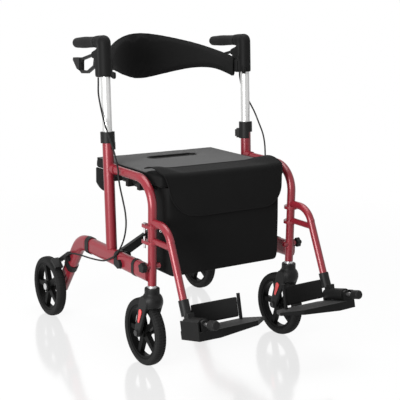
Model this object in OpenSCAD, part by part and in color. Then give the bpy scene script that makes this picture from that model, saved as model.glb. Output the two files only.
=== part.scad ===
// Rollator transport chair: two tubular side frames on a folding cross brace, with casters,
// rear wheels, brakes, swing-away footrests, padded seat, bag and bowed backrest.
// Millimetres. +Z up, the footrests face -Y, the push handles face +Y, +X is the chair's left.

/* [Side frame] */
// Distance from the seat's edge out to each lower rail's centre line
rail_side = 36; // [32:1:60]
// Height of the lower rail's centre line
rail_z = 286; // [275:1:300]
// Height of the lower rail's flat oval section
rail_h = 50; // [40:1:54]
// Width of the lower rail's flat oval section
rail_w = 30; // [24:1:32]
// Wall of the frame tubes
tube_wall = 2; // [1.5:0.1:2.5]
// Height of the upper rail's centre line
upper_z = 551; // [535:1:570]
// Diameter of the upper rail and front post
loop_d = 25.4; // [23:0.1:27]
// Centre line radius of the bend between upper rail and front post
loop_bend = 80; // [60:1:100]
// Fore and aft place of the front post
front_y = -179; // [-190:1:-165]
// Height of the front post's open lower end
front_foot_z = 250; // [248:1:258]
// Outer diameter of the rear post
post_d = 33; // [32:0.1:34]
// Fore and aft place where the rear post's centre line meets the lower rail's
post_y = 49; // [35:1:60]
// Backward lean of the rear post in degrees
post_lean = 3.8; // [2:0.1:6]
// Length of the rear post from the lower rail's centre line
post_len = 355; // [345:1:370]
// Fore and aft place where the lower rail starts to turn down
leg_bend_y = 204; // [190:1:215]
// Centre line radius of the turn into the rear leg
leg_bend_r = 88; // [70:1:100]
// Slope of the rear leg in degrees below level
leg_slope = 52.5; // [48:0.5:58]
// How far the rear axle sits behind the leg's centre line
axle_set = 14; // [6:1:18]

/* [Wheels] */
// Radius of all four wheels over the tyre
wheel_r = 100; // [92:1:102]
// Width of the tyres
tyre_w = 30; // [24:1:34]
// Radial thickness of the tyres
tyre_t = 20; // [12:1:26]
// Radius of the wheel hubs
hub_r = 17; // [14:1:22]
// Radius of the axles
axle_r = 6; // [5:0.1:7]
// Number of spokes in each wheel
spokes = 5; // [3:1:8]
// How far the front axle trails behind the swivel axis
trail = 39; // [30:1:45]
// Thickness of each caster fork arm
fork_t = 10.5; // [7:0.5:14]
// Gap between tyre and fork arm
fork_gap = 3.5; // [2:0.5:6]

/* [Handles] */
// Diameter of the sliding handle tube
slide_d = 28.5; // [27:0.1:29]
// How far the collar laps over the rear post's top
collar_lap = 14; // [9:1:20]
// Length of the collar
collar_h = 33; // [28:1:40]
// Outer radius of the collar
collar_r = 21.5; // [20:0.1:24]
// Length of the handle body below the grip's axis
handle_len = 104; // [96:1:118]
// Place of the grip's axis along the post
grip_t = 638; // [630:1:650]
// Diameter of the grip
grip_d = 32; // [28:0.5:36]
// Distance from the tube's axis to the grip's end
grip_reach = 186; // [170:1:200]

/* [Footrests] */
// Height where the hanger tube leaves the front post
hanger_z = 434; // [425:1:445]
// Diameter of the hanger tube
hanger_d = 22; // [20:0.5:24]
// Centre line radius of the hanger's bend
hanger_bend = 62; // [45:1:75]
// Distance from the front post to the corner of the hanger's centre line
hanger_reach = 80.6; // [75:0.1:90]
// Slope of the hanger's straight leg in degrees below level
hanger_slope = 65.6; // [62:0.1:70]
// Height of the hanger's lower strut
strut_z = 382; // [375:1:390]
// Fore and aft place of the middle of the footplate's pivot
plate_y = -404; // [-412:1:-398]
// Height of the footplate's pivot
plate_z = 203; // [195:1:210]
// Upward tilt of the footplates in degrees
plate_tilt = 14; // [5:1:18]
// Length of the footplate's pivot barrel
barrel_len = 78; // [66:1:84]
// Thickness of the footplates
plate_t = 23; // [14:1:26]
// Thickness of the footplates at their inner tip
plate_tip_t = 9; // [6:1:13]
// Width of the footplates inward from their pivot
plate_in = 222; // [190:1:232]

/* [Cross brace] */
// Fore and aft place of the cross brace
brace_y = 27; // [20:1:28]
// Distance from each lower rail's centre line in to the brace pivot
brace_in = 32; // [30:1:43]
// Height of the lower brace pivots
brace_z = 292; // [285:1:300]
// Distance from the seat's edge in to each seat rail
seat_rail_in = 7; // [4:1:17]
// Diameter of the seat rails
seat_rail_d = 16; // [14:0.5:20]
// Thickness of the flat brace arms
arm_t = 14; // [8:1:14]

/* [Soft parts] */
// Width of the seat
seat_w = 444; // [420:2:452]
// Fore and aft place of the seat's front edge
seat_front = -176; // [-182:1:-160]
// Fore and aft place of the seat's rear edge
seat_rear = 218; // [190:1:230]
// Height of the seat's underside
seat_z = 527; // [524:1:532]
// Thickness of the seat at its crown
seat_t = 34; // [26:1:44]
// Length of the hand slot in the seat
slot_w = 170; // [160:1:220]
// Width of the hand slot in the seat
slot_d = 34; // [20:1:40]
// Fore and aft place of the hand slot
slot_y = 117; // [95:1:130]
// Height of the bag's underside
bag_z = 270; // [250:1:280]
// How far the backrest bows out behind its ends
back_bow = 200; // [120:1:220]
// Thickness of the backrest pad
back_t = 20; // [12:1:26]
// Height of the backrest in its middle
back_h = 141; // [110:1:165]
// Height of the backrest at its ends
back_end_h = 57; // [45:1:80]

/* [Hidden] */
$fn = 48;

paint_red = [0.62, 0.14, 0.20];
bright_metal = [0.82, 0.83, 0.85];
black_plastic = [0.09, 0.09, 0.10];
black_rubber = [0.05, 0.05, 0.05];
black_cloth = [0.12, 0.12, 0.13];
red_lens = [0.75, 0.05, 0.07];

// Clearances: turning or sliding fits, parts that pass each other, and small seats
run = 0.08;
clear = 0.4;
past = 1;

// Side frame
rail_x = seat_w / 2 + rail_side;
loop_x = rail_x - 8;
post_x = rail_x - 3;
loop_r = loop_d / 2;
post_r = post_d / 2;
slide_r = slide_d / 2;
weld_sleeve_len = 26;
weld_sleeve_r = loop_r + 2.8;
weld_bead = 0.6;
rail_out_x = rail_x + rail_w / 2;
leg_turn = [leg_bend_y, rail_z - leg_bend_r];
leg_start = leg_turn + leg_bend_r * [sin(leg_slope), cos(leg_slope)];
leg_len = (leg_start[1] - wheel_r) / sin(leg_slope);
axle_y = leg_start[0] + (leg_start[1] - wheel_r) / tan(leg_slope) + axle_set;
axle_boss_r = 23;

// Clamp knob on the front post
knob_z = 306;
knob_stem_r = 4;
knob_boss_r = 8;
knob_boss_in = 24;
knob_boss_out = 20;
knob_r = 15;
knob_t = 13;

// Bands and brackets on the rails
band_t = 2.5;
rear_band = [170, 192];
cable_clip = [-16, 2];
strap_band = [-114, -100];
clip_boss = [-33, 280];
saddle_ys = [-12, -78];
saddle_w = 15;
saddle_r = loop_r + 2.8;
rest_ys = [51, 86];
rest_t = 14;

// Rear wheels and brakes
rear_wheel_x = rail_out_x + 10 + tyre_w / 2;
hub_w = tyre_w;
axle_head_t = 3;
leg_band_along = 76;
brake_pivot = [305, 216];
brake_pin_r = 5;
brake_gap = 3;
brake_arm_x = rail_out_x + 4;
brake_arm_t = 8;
shoe_t = 10;
shoe_from = 20;
shoe_to = 42;

// Casters
fork_in = tyre_w / 2 + fork_gap;
fork_out = fork_in + fork_t;
front_axle_y = front_y + trail;
front_axle_r = axle_r - 1;
cap_top = front_foot_z - 7;
cap_h = 20;
cap_r = 22;
crown_r = 31;
crown_z = cap_top - 40;
stem_r = loop_r - tube_wall - run;
stem_top = knob_z - knob_boss_r - 5;

// Handles: s runs back from the tube's axis, t runs up along the post
handle_t = grip_t - handle_len;
tube_in = 80;
slide_from = 180;
lever_s = 54;
lever_drop = 38;
lever_t = grip_t - lever_drop;
lever_outline = [[2, 7], [86, -7], [136, -6], [139, -14], [114, -41], [92, -55], [54, -55], [6, -36],
    [-2, -8]];
lever_window = [[16, -3], [84, -15], [94, -25], [92, -45], [56, -47], [14, -31], [8, -10]];
lever_pad = [[95, -10], [136, -6], [139, -14], [114, -41], [98, -46]];
lever_pin_r = 3;
lever_half = 6;
housing_half = 14;
housing_s = 35;
collar_t = post_len - collar_lap;
button_t = [collar_t - 14, collar_t + 8];
button_half = 6.5;
button_x = [-34, -24.5];
boss_x = -29;

// Cross brace: pivots at the lower rails, seat rails on the arms' upper ends
brace_x = rail_x - brace_in;
arm_foot_gap = 1.5;
arm_foot_r = brace_in - rail_w / 2 - band_t - arm_foot_gap;
seat_rail_x = seat_w / 2 - seat_rail_in;
seat_rail_r = seat_rail_d / 2;
seat_rail_z = seat_z - 0.3 - seat_rail_r;
seat_rail_ys = [-125, 46];
arm_rise = (seat_rail_z - brace_z) / (seat_rail_x + brace_x);
brace_mid_z = brace_z + brace_x * arm_rise;
arm_half_gap = 1;
brace_pin_r = 6;
brace_pivot_r = 5;
ear_t = 4;
barrel_ys = [brace_y - arm_t - 6, brace_y + arm_half_gap + arm_t];

// Footrests
swing_r = loop_r + run;
ring_r = 21;
ring_t = 9;
pin_off = [12.7, 21.6];
pin_r = 3.5;
hanger_r = hanger_d / 2;
hanger_end_z = 226;
clamp_r = hanger_r + 3.5;
clamp_top_z = 252;
clamp_low_z = 212;
barrel_r = 17;
pivot_r = 6;
knob_end_r = 13;
plate_drop = barrel_r + 1.2;
lug_t = 9;
plate_out = 24;
heel_in = 53;
heel_x = heel_in - plate_in;
heel_y = 30;
heel_post_r = 5;
heel_post_h = 73;
strap_h = 56;
strap_t = 2.5;
strap_bow = 16;
strap_end_x = -17;
strap_end_y = 42;

// Backrest and bag places
back_in = 24;
back_set = 26.4;
back_lug_t = handle_t + 18.2;
back_x = post_x - back_in;
back_y = post_y + back_lug_t * sin(post_lean) + back_set;
back_end_z = rail_z + back_lug_t * cos(post_lean);
back_mid_rise = 25;
back_mid_z = back_end_z + back_mid_rise;
bag_top_z = seat_z - 0.3;
bag_back_y = -82;
bag_top_in = 24;
bag_taper = 8;
bag_bulge = 10;
panel_t = 5;
panel_gap = 1.5;
panel_in = 22;
panel_lap = 20;
panel_low = 10;
tab_t = 9;
tab_in = 10;
tab_x = seat_w / 2 - tab_in;
tab_len = 52;
tab_back = 1;
tab_r = 76;
tab_lap = 8;

// Brake cable route on the left side, from the handle down to the rear brake: sideways from the
// rear post, fore and aft, height, and share of the handle's height setting
cable_r = 2.5;
cable_made_at = 534;
cable_route = [[5, 120, 816, 1], [6, 118, 798, 1], [10, 110, 768, 0.9], [16, 84, 730, 0.7],
    [21, 55, 693, 0.45], [22, 29, 657, 0.2], [21, 6, 626, 0.05], [18, -9, 594, 0], [15, -17, 562, 0],
    [15, -20, 538, 0], [15, -30, 508, 0], [15, -46, 474, 0], [15, -60, 440, 0], [16, -66, 404, 0],
    [18, -58, 364, 0], [21, -38, 328, 0], [24, -10, 300, 0], [25, 20, 284, 0], [25, 54, 270, 0],
    [26, 100, 262, 0], [26, 150, 256, 0], [27, 200, 252, 0], [28, 250, 246, 0], [29, 285.3, 238, 0]];
cable_points = [for (p = cable_route) let (shift = p[3] * (handle_t - cable_made_at))
    [post_x + p[0], p[1] + shift * sin(post_lean), p[2] + shift * cos(post_lean)]];

module on_left() {
    children();
}

module on_right() {
    mirror([1, 0, 0]) children();
}

// An outline in the side plane, with its first axis to the rear and its second up, from x0 outward
module side_plate(x0, thickness) {
    translate([x0, 0, 0]) rotate([90, 0, 90]) linear_extrude(thickness) children();
}

// An outline seen from the front, with its first axis sideways and its second up, from y0 to y1
module front_plate(y0, y1) {
    translate([0, y1, 0]) rotate([90, 0, 0]) linear_extrude(y1 - y0) children();
}

module rod_x(x0, x1, y, z, r) {
    translate([x0, y, z]) rotate([0, 90, 0]) cylinder(r = r, h = x1 - x0);
}

module rod_y(x, y0, y1, z, r) {
    translate([x, y0, z]) rotate([-90, 0, 0]) cylinder(r = r, h = y1 - y0);
}

// Two discs of different size joined by a tapered bar
module bar_outline(a, ra, b, rb) {
    span = b - a;
    aim = atan2(span[1], span[0]);
    lean = acos((ra - rb) / norm(span));
    inside = 0.996;
    translate(a) circle(ra);
    translate(b) circle(rb);
    polygon([for (p = [[a, ra, 1], [b, rb, 1], [b, rb, -1], [a, ra, -1]])
        p[0] + inside * p[1] * [cos(aim + p[2] * lean), sin(aim + p[2] * lean)]]);
}

module oval(w, h) {
    square([w, h - w], center = true);
    for (up = [-1, 1])
        translate([0, up * (h - w) / 2]) circle(w / 2);
}

// Frame of the rear post: x sideways, y back, z up along the leaning post
module along_post() {
    translate([post_x, post_y, rail_z]) rotate([-post_lean, 0, 0]) children();
}

// Solid course of the upper rail and front post
module loop_course(r, overrun = 0) {
    post_at_rail = post_y + (upper_z - rail_z) * tan(post_lean);
    rod_y(loop_x, front_y + loop_bend, post_at_rail - 8, upper_z, r);
    translate([loop_x, front_y + loop_bend, upper_z - loop_bend]) rotate([90, 0, 90]) rotate([0, 0, 90])
        rotate_extrude(angle = 90) translate([loop_bend, 0]) circle(r);
    translate([loop_x, front_y, front_foot_z - overrun])
        cylinder(r = r, h = upper_z - loop_bend - front_foot_z + overrun);
}

module front_loop() {
    color(paint_red) difference() {
        union() {
            loop_course(loop_r);
            rod_y(loop_x, post_y - weld_sleeve_len + 6, post_y + 6, upper_z, weld_sleeve_r);
            rod_x(loop_x - knob_boss_in, loop_x + knob_boss_out, front_y, knob_z, knob_boss_r);
        }
        loop_course(loop_r - tube_wall, past);
        along_post() cylinder(r = post_r, h = post_len);
        rod_x(loop_x - knob_boss_in - past, loop_x + knob_boss_out + past, front_y, knob_z,
            knob_stem_r + run);
    }
}

// Solid course of the lower rail and rear leg, drawn smaller by a wall for its hollow
module rail_course(wall) {
    w = rail_w - 2 * wall;
    h = rail_h - 2 * wall;
    translate([rail_x, 0, rail_z]) {
        front_plate(front_y + wall, leg_bend_y - 1) oval(w, h);
        front_plate(leg_bend_y - 3, leg_bend_y + 3) oval(w + 2 * weld_bead, h + 2 * weld_bead);
    }
    translate([rail_x, leg_turn[0], leg_turn[1]]) rotate([90, 0, 90]) rotate([0, 0, 90 - leg_slope]) {
        rotate_extrude(angle = leg_slope) translate([leg_bend_r, 0]) rotate(90) oval(w, h);
        translate([leg_bend_r, 0, 0]) rotate([90, 0, 0])
            linear_extrude(leg_len - wall) rotate(90) oval(w, h);
    }
}

// Frame at the start of the rear leg: x sideways, y square to the leg, z down along the leg
module along_leg() {
    translate([rail_x, leg_start[0], leg_start[1]]) rotate([-90 - leg_slope, 0, 0]) children();
}

module lower_rail() {
    color(paint_red) difference() {
        union() {
            difference() {
                rail_course(0);
                rail_course(tube_wall);
            }
            rod_x(rail_x - rail_w / 2, rail_out_x, axle_y, wheel_r, axle_boss_r);
        }
        translate([loop_x, front_y, front_foot_z]) cylinder(r = loop_r, h = rail_z);
        rod_x(loop_x - knob_boss_in, rail_out_x + past, front_y, knob_z, knob_boss_r);
        rod_x(rail_x - rail_w, rail_out_x + past, axle_y, wheel_r, axle_r);
    }
}

module rear_post() {
    socket_from = 60;
    color(paint_red) difference() {
        along_post() difference() {
            cylinder(r = post_r, h = post_len);
            translate([0, 0, socket_from]) cylinder(r = slide_r + run, h = post_len);
        }
        translate([rail_x, 0, rail_z]) front_plate(front_y, leg_bend_y) oval(rail_w, rail_h);
    }
}

module rail_band(ys, t) {
    translate([rail_x, 0, rail_z]) front_plate(ys[0], ys[1]) difference() {
        oval(rail_w + 2 * t, rail_h + 2 * t);
        oval(rail_w, rail_h);
    }
}

// Saddle on the inner side of the upper rail with a ledge under the seat rail
module seat_saddle(y) {
    ledge_top = seat_rail_z - seat_rail_r - 0.3;
    ledge_t = 3.5;
    web_in = seat_rail_x + seat_rail_r + 1.5;
    difference() {
        intersection() {
            union() {
                rod_y(loop_x, y - saddle_w / 2, y + saddle_w / 2, upper_z, saddle_r);
                translate([web_in, y - saddle_w / 2, ledge_top - ledge_t])
                    cube([loop_x - loop_r - web_in, saddle_w, upper_z - ledge_top + ledge_t]);
                translate([seat_rail_x - seat_rail_r + 3, y - saddle_w / 2, ledge_top - ledge_t])
                    cube([web_in - seat_rail_x + seat_rail_r, saddle_w, ledge_t]);
            }
            translate([0, y - saddle_w, 0]) cube([loop_x - 1, 2 * saddle_w, upper_z + 4]);
        }
        rod_y(loop_x, y - saddle_w, y + saddle_w, upper_z, loop_r);
    }
}

// Block on the inner side of the rear post under the seat
module seat_rest() {
    difference() {
        translate([seat_rail_x - seat_rail_r, rest_ys[0], seat_z - 1 - rest_t])
            cube([post_x - seat_rail_x + seat_rail_r, rest_ys[1] - rest_ys[0], rest_t]);
        along_post() cylinder(r = post_r, h = post_len);
    }
}

// Two ears on the lower rail's inner side that hold the brace arm's pivot pin
module brace_bracket() {
    ear_ys = [barrel_ys[0] - 0.5 - ear_t, barrel_ys[1] + 0.5];
    ear_r = 11;
    difference() {
        union() {
            for (y = ear_ys)
                front_plate(y, y + ear_t)
                    bar_outline([brace_x, brace_z], ear_r, [rail_x - 6, rail_z - 4], 13);
            rod_y(brace_x, ear_ys[0], ear_ys[1] + ear_t, brace_z, brace_pivot_r);
        }
        translate([rail_x, 0, rail_z]) front_plate(ear_ys[0] - past, ear_ys[1] + ear_t + past)
            oval(rail_w, rail_h);
        along_post() cylinder(r = post_r, h = post_len);
    }
}

// Band round the rear leg, and the brake arm's pivot pin on the leg's outer face
module brake_bracket() {
    half = 12;
    along_leg() translate([0, 0, leg_band_along - half]) linear_extrude(2 * half) difference() {
        oval(rail_w + 5, rail_h + 5);
        oval(rail_w, rail_h);
    }
    rod_x(rail_out_x, brake_arm_x - 1, brake_pivot[0], brake_pivot[1], brake_pin_r + 5);
    rod_x(rail_out_x + 2, brake_arm_x + brake_arm_t + 3, brake_pivot[0], brake_pivot[1], brake_pin_r);
    rod_x(brake_arm_x + brake_arm_t + 0.5, brake_arm_x + brake_arm_t + 4, brake_pivot[0], brake_pivot[1],
        brake_pin_r + 2);
}

module frame_clips() {
    color(black_plastic) {
        rail_band(rear_band, band_t);
        rail_band(cable_clip, band_t);
        rod_x(rail_out_x, rail_out_x + 9, clip_boss[0], clip_boss[1], 13);
        rail_band(strap_band, band_t / 2);
        for (y = saddle_ys)
            seat_saddle(y);
        seat_rest();
        brace_bracket();
        brake_bracket();
    }
}

// The collar's button faces inward and back
module toward_button() {
    along_post() rotate(-45) children();
}

module height_collar() {
    skirt = 20;
    boss_half = 10;
    boss_ts = [button_t[0] - 4, button_t[1] + 4];
    pocket_x = -20;
    color(black_plastic) toward_button() difference() {
        union() {
            translate([0, 0, collar_t]) cylinder(r = collar_r, h = collar_h);
            intersection() {
                translate([0, 0, collar_t - skirt]) cylinder(r = collar_r + 1, h = skirt + past);
                rotate(45) translate([-2 * collar_r, -2 * collar_r, 0])
                    cube([2 * collar_r - 3, 4 * collar_r, 2 * post_len]);
            }
            translate([boss_x, -boss_half, boss_ts[0]])
                cube([-boss_x - post_r, 2 * boss_half, boss_ts[1] - boss_ts[0]]);
        }
        cylinder(r = post_r, h = post_len);
        cylinder(r = slide_r + run, h = 2 * post_len);
        translate([boss_x - past, -button_half - clear, button_t[0] - clear])
            cube([pocket_x - boss_x + past, 2 * (button_half + clear),
                button_t[1] - button_t[0] + 2 * clear]);
    }
}

module height_button() {
    color(black_plastic) toward_button()
        translate([button_x[0], -button_half, button_t[0]])
            cube([button_x[1] - button_x[0], 2 * button_half, button_t[1] - button_t[0]]);
}

module rear_axle() {
    color(bright_metal) {
        rod_x(rail_x - rail_w / 2 - 6, rear_wheel_x + hub_w / 2 + 0.4, axle_y, wheel_r, axle_r);
        rod_x(rear_wheel_x + hub_w / 2 + 0.4, rear_wheel_x + hub_w / 2 + 0.4 + axle_head_t, axle_y,
            wheel_r, axle_r + 5);
        rod_x(rail_x - rail_w / 2 - 6, rail_x - rail_w / 2, axle_y, wheel_r, axle_r + 4);
        difference() {
            rod_x(rail_out_x, rear_wheel_x - hub_w / 2 - 0.4, axle_y, wheel_r, axle_r + 5);
            rod_x(rail_x, rear_wheel_x, axle_y, wheel_r, axle_r - 0.5);
        }
    }
}

// Wheel standing on its own axis, rim and spokes without the tyre
module wheel_body(bore) {
    rim_r = wheel_r - tyre_t;
    rim_t = 8;
    rim_w = tyre_w - 8;
    spoke_w = 15;
    color(black_plastic) rotate([0, 90, 0]) difference() {
        union() {
            cylinder(r = hub_r, h = hub_w, center = true);
            difference() {
                cylinder(r = rim_r, h = rim_w, center = true);
                cylinder(r = rim_r - rim_t, h = tyre_w, center = true);
            }
            for (i = [0 : spokes - 1])
                rotate(90 + i * 360 / spokes) linear_extrude(spoke_w, center = true)
                    bar_outline([hub_r - 6, 0], 10, [rim_r - rim_t + 1, 0], 6.5);
        }
        cylinder(r = bore, h = 2 * hub_w, center = true);
        difference() {
            cylinder(r = 2 * wheel_r, h = tyre_w, center = true);
            cylinder(r = rim_r, h = 2 * tyre_w, center = true);
        }
    }
}

module tyre_body() {
    half = tyre_w / 2;
    shoulder = 6;
    bead = 3;
    color(black_rubber) rotate([0, 90, 0]) rotate_extrude() polygon([
        [wheel_r - tyre_t, -half + bead], [wheel_r - tyre_t + bead, -half], [wheel_r - shoulder, -half],
        [wheel_r, -half + shoulder], [wheel_r, half - shoulder], [wheel_r - shoulder, half],
        [wheel_r - tyre_t + bead, half], [wheel_r - tyre_t, half - bead]]);
}

module at_rear_wheel() {
    translate([rear_wheel_x, axle_y, wheel_r]) children();
}

module at_front_wheel() {
    translate([loop_x, front_axle_y, wheel_r]) children();
}

module rear_wheel() {
    at_rear_wheel() wheel_body(axle_r + run);
}

module rear_tyre() {
    at_rear_wheel() tyre_body();
}

module front_wheel() {
    at_front_wheel() wheel_body(front_axle_r + run);
}

module front_tyre() {
    at_front_wheel() tyre_body();
}

// Straight arm along the leg's rear side, with the shoe over the tyre's front
module brake_arm() {
    shoe_in = rear_wheel_x - tyre_w / 2 + 1;
    shoe_out = rear_wheel_x + tyre_w / 2 - 2;
    shoe_r = wheel_r + brake_gap;
    hub = 9.5;
    arm_r = 7;
    tip_at = shoe_from + 6;
    tip = [axle_y, wheel_r] + (shoe_r + 1.2 + arm_r) * [-sin(tip_at), cos(tip_at)];
    tail = brake_pivot + [-13, 21];
    far = 2 * shoe_r;
    color(black_plastic) {
        side_plate(brake_arm_x, brake_arm_t) difference() {
            union() {
                bar_outline(tail, arm_r - 1, tip, arm_r);
                translate(brake_pivot) circle(hub);
            }
            translate(brake_pivot) circle(brake_pin_r + run);
        }
        side_plate(shoe_in, shoe_out - shoe_in) translate([axle_y, wheel_r]) intersection() {
            difference() {
                circle(shoe_r + shoe_t);
                circle(shoe_r);
            }
            polygon([[0, 0], far * [-sin(shoe_from), cos(shoe_from)], far * [-sin(shoe_to), cos(shoe_to)]]);
        }
    }
}

module caster_fork() {
    arm_top_r = 21;
    arm_end_r = 13;
    color(black_plastic) difference() {
        union() {
            translate([loop_x, front_y, cap_top - cap_h]) cylinder(r = cap_r, h = cap_h);
            intersection() {
                translate([loop_x, front_y, crown_z]) sphere(crown_r);
                translate([loop_x - fork_out, front_y - crown_r, crown_z - crown_r])
                    cube([2 * fork_out, 2 * crown_r, cap_top - cap_h + 2 - crown_z + crown_r]);
            }
            for (x = [-fork_out, fork_in])
                side_plate(loop_x + x, fork_t)
                    bar_outline([front_y + 4, crown_z - 3], arm_top_r, [front_axle_y, wheel_r], arm_end_r);
        }
        rod_x(loop_x - fork_in, loop_x + fork_in, front_axle_y, wheel_r, wheel_r + fork_gap);
        rod_x(loop_x - 2 * fork_out, loop_x + 2 * fork_out, front_axle_y, wheel_r, front_axle_r);
    }
}

// Swivel stem and axle bolt of one caster
module caster_bolts() {
    head_t = 4;
    color(bright_metal) {
        translate([loop_x, front_y, cap_top]) cylinder(r = stem_r, h = stem_top - cap_top);
        translate([loop_x, front_y, cap_top]) cylinder(r = stem_r + 3, h = 4);
        rod_x(loop_x - fork_out - head_t, loop_x + fork_out + head_t, front_axle_y, wheel_r, front_axle_r);
        for (x = [-fork_out - head_t, fork_out])
            rod_x(loop_x + x, loop_x + x + head_t, front_axle_y, wheel_r, front_axle_r + 4);
    }
}

// Teardrop lenses on the outer faces of both fork arms
module caster_reflectors() {
    lens_t = 1.6;
    color(red_lens)
        for (x = [-fork_out - lens_t, fork_out])
            side_plate(loop_x + x, lens_t)
                bar_outline([front_y + 16, crown_z - 32], 7.5, [front_y + 26, crown_z - 64], 4);
}

module handle_tube() {
    color(bright_metal) along_post() difference() {
        translate([0, 0, slide_from]) cylinder(r = slide_r, h = handle_t + tube_in - slide_from);
        translate([0, 0, slide_from - past]) cylinder(r = slide_r - tube_wall + 0.3, h = post_len * 2);
    }
}

// Elbow, brake housing and grip core in one moulding
module handle_body() {
    elbow_r = 20.8;
    neck_r = 19;
    core_r = 9;
    neck_s = 42;
    slot_half = lever_half + clear;
    color(black_plastic) along_post() {
        difference() {
            union() {
                translate([0, 0, handle_t]) cylinder(r = slide_r + 5.5, h = grip_t - handle_t);
                translate([0, 2.5, grip_t - 1.5]) sphere(elbow_r);
                rod_y(0, 0, neck_s, grip_t, neck_r);
                rod_y(0, neck_s - past, grip_reach - 11, grip_t, core_r);
                translate([-housing_half, 0, handle_t])
                    cube([2 * housing_half, housing_s, lever_t - handle_t]);
                translate([0, housing_s, handle_t]) cylinder(r = housing_half, h = lever_t - handle_t);
                side_plate(-housing_half, 2 * housing_half)
                    bar_outline([20, lever_t + 4], 16, [lever_s, lever_t], 11);
                translate([-slide_r - 10, -slide_r - 12, handle_t - 6]) cube([12, 14, 22]);
                translate([-30, 5, handle_t + 2]) cube([30 - housing_half + past, 15.1, 40]);
            }
            translate([0, 0, handle_t - past]) cylinder(r = slide_r, h = tube_in + past);
            translate([-slot_half, housing_s + 4, handle_t + 20])
                cube([2 * slot_half, 60, grip_t - handle_t - 41]);
        }
        rod_x(-housing_half, housing_half, lever_s, lever_t, lever_pin_r);
    }
}

module grip() {
    round_r = 9;
    grip_r = grip_d / 2;
    core_r = 9;
    from_s = 42.4;
    len = grip_reach - from_s;
    color(black_rubber) along_post() translate([0, from_s, grip_t]) rotate([-90, 0, 0]) difference() {
        rotate_extrude() intersection() {
            square([grip_r, len]);
            union() {
                square([grip_r, len - round_r]);
                square([grip_r - round_r, len]);
                translate([grip_r - round_r, len - round_r]) circle(round_r);
            }
        }
        translate([0, 0, -past]) cylinder(r = core_r + 0.05, h = grip_reach - 11 - from_s + past + 0.3);
    }
}

// Loop shaped lever with a finger pad at its end
module brake_lever() {
    rod_half = 4.5;
    color(black_plastic) along_post() difference() {
        union() {
            side_plate(-lever_half, 2 * lever_half) translate([lever_s, lever_t]) circle(9);
            side_plate(-rod_half, 2 * rod_half) translate([lever_s, lever_t]) difference() {
                polygon(lever_outline);
                polygon(lever_window);
            }
            side_plate(-9, 18) translate([lever_s, lever_t]) polygon(lever_pad);
        }
        rod_x(-20, 20, lever_s, lever_t, lever_pin_r + run);
    }
}

function mix3(a, b, c, d, f) = 0.5 * (2 * b + (c - a) * f + (2 * a - 5 * b + 4 * c - d) * f * f
    + (3 * b - a - 3 * c + d) * f * f * f);

// Points along a smooth curve through the route, a few steps between route points
function smooth_route(p, steps) = [for (i = [0 : len(p) - 2], k = [0 : steps - 1])
    mix3(p[max(i - 1, 0)], p[i], p[i + 1], p[min(i + 2, len(p) - 1)], k / steps), p[len(p) - 1]];

function unit(v) = v / norm(v);

// Closed tube of triangles swept along points
module swept_tube(points, r, sides) {
    last = len(points) - 1;
    rings = [for (i = [0 : last])
        let (dir = unit(points[min(i + 1, last)] - points[max(i - 1, 0)]),
            out = unit([1, 0, 0] - dir[0] * dir),
            side = cross(dir, out))
        for (k = [0 : sides - 1])
            points[i] + r * (cos(k * 360 / sides) * out + sin(k * 360 / sides) * side)];
    skin = [for (i = [0 : last - 1], k = [0 : sides - 1])
        let (a = i * sides + k, b = i * sides + (k + 1) % sides)
        each [[a, a + sides, b], [b, a + sides, b + sides]]];
    ends = [for (k = [1 : sides - 2]) each [[0, k, k + 1],
        [last * sides, last * sides + k + 1, last * sides + k]]];
    polyhedron(concat(rings, [points[0]]), concat(skin, ends));
}

module brake_cable() {
    color(black_rubber) swept_tube(smooth_route(cable_points, 3), cable_r, 8);
}

// Place along the hanger's straight leg, measured up from its lower end
hanger_dir = [-cos(hanger_slope), -sin(hanger_slope)];
hanger_corner = [front_y - hanger_reach, hanger_z];
hanger_cut = hanger_bend * tan(hanger_slope / 2);

function on_hanger(z) = hanger_corner + hanger_dir * (hanger_z - z) / sin(hanger_slope);

// Straight tube along the hanger's leg between two heights
module leg_rod(z_low, z_high, r) {
    low = on_hanger(z_low);
    translate([loop_x, low[0], low[1]]) rotate([hanger_slope - 90, 0, 0])
        cylinder(r = r, h = (z_high - z_low) / sin(hanger_slope));
}

module hanger_course(r) {
    bend_end_z = hanger_z - hanger_cut * sin(hanger_slope);
    rod_y(loop_x, hanger_corner[0] + hanger_cut, front_y, hanger_z, r);
    translate([loop_x, hanger_corner[0] + hanger_cut, hanger_z - hanger_bend]) rotate([90, 0, 90])
        rotate([0, 0, 90]) rotate_extrude(angle = hanger_slope) translate([hanger_bend, 0]) circle(r);
    leg_rod(hanger_end_z, bend_end_z - 1, r);
    leg_rod(bend_end_z - 3, bend_end_z + 3, r + weld_bead);
}

// Bent tube with strut and two rings that turn on the front post
module footrest_hanger() {
    strut_r = 9;
    ring_zs = [strut_z - ring_t - 1, hanger_z - hanger_r - ring_t + 4];
    color(paint_red) difference() {
        union() {
            hanger_course(hanger_r);
            rod_y(loop_x, on_hanger(strut_z)[0], front_y, strut_z, strut_r);
            for (z = ring_zs)
                translate([loop_x, front_y, z]) linear_extrude(ring_t)
                    bar_outline([0, 0], ring_r, pin_off, pin_r + 5);
        }
        translate([loop_x, front_y, 0]) cylinder(r = swing_r, h = upper_z - loop_bend);
        translate([loop_x + pin_off[0], front_y + pin_off[1], 0]) cylinder(r = pin_r, h = upper_z);
    }
}

module hanger_pin() {
    low = strut_z - ring_t - 18;
    top = hanger_z - hanger_r + 4;
    color(bright_metal) translate([loop_x + pin_off[0], front_y + pin_off[1], 0]) {
        translate([0, 0, low]) cylinder(r = pin_r, h = top - low);
        translate([0, 0, top]) cylinder(r = pin_r + 2, h = 3);
    }
}

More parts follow.
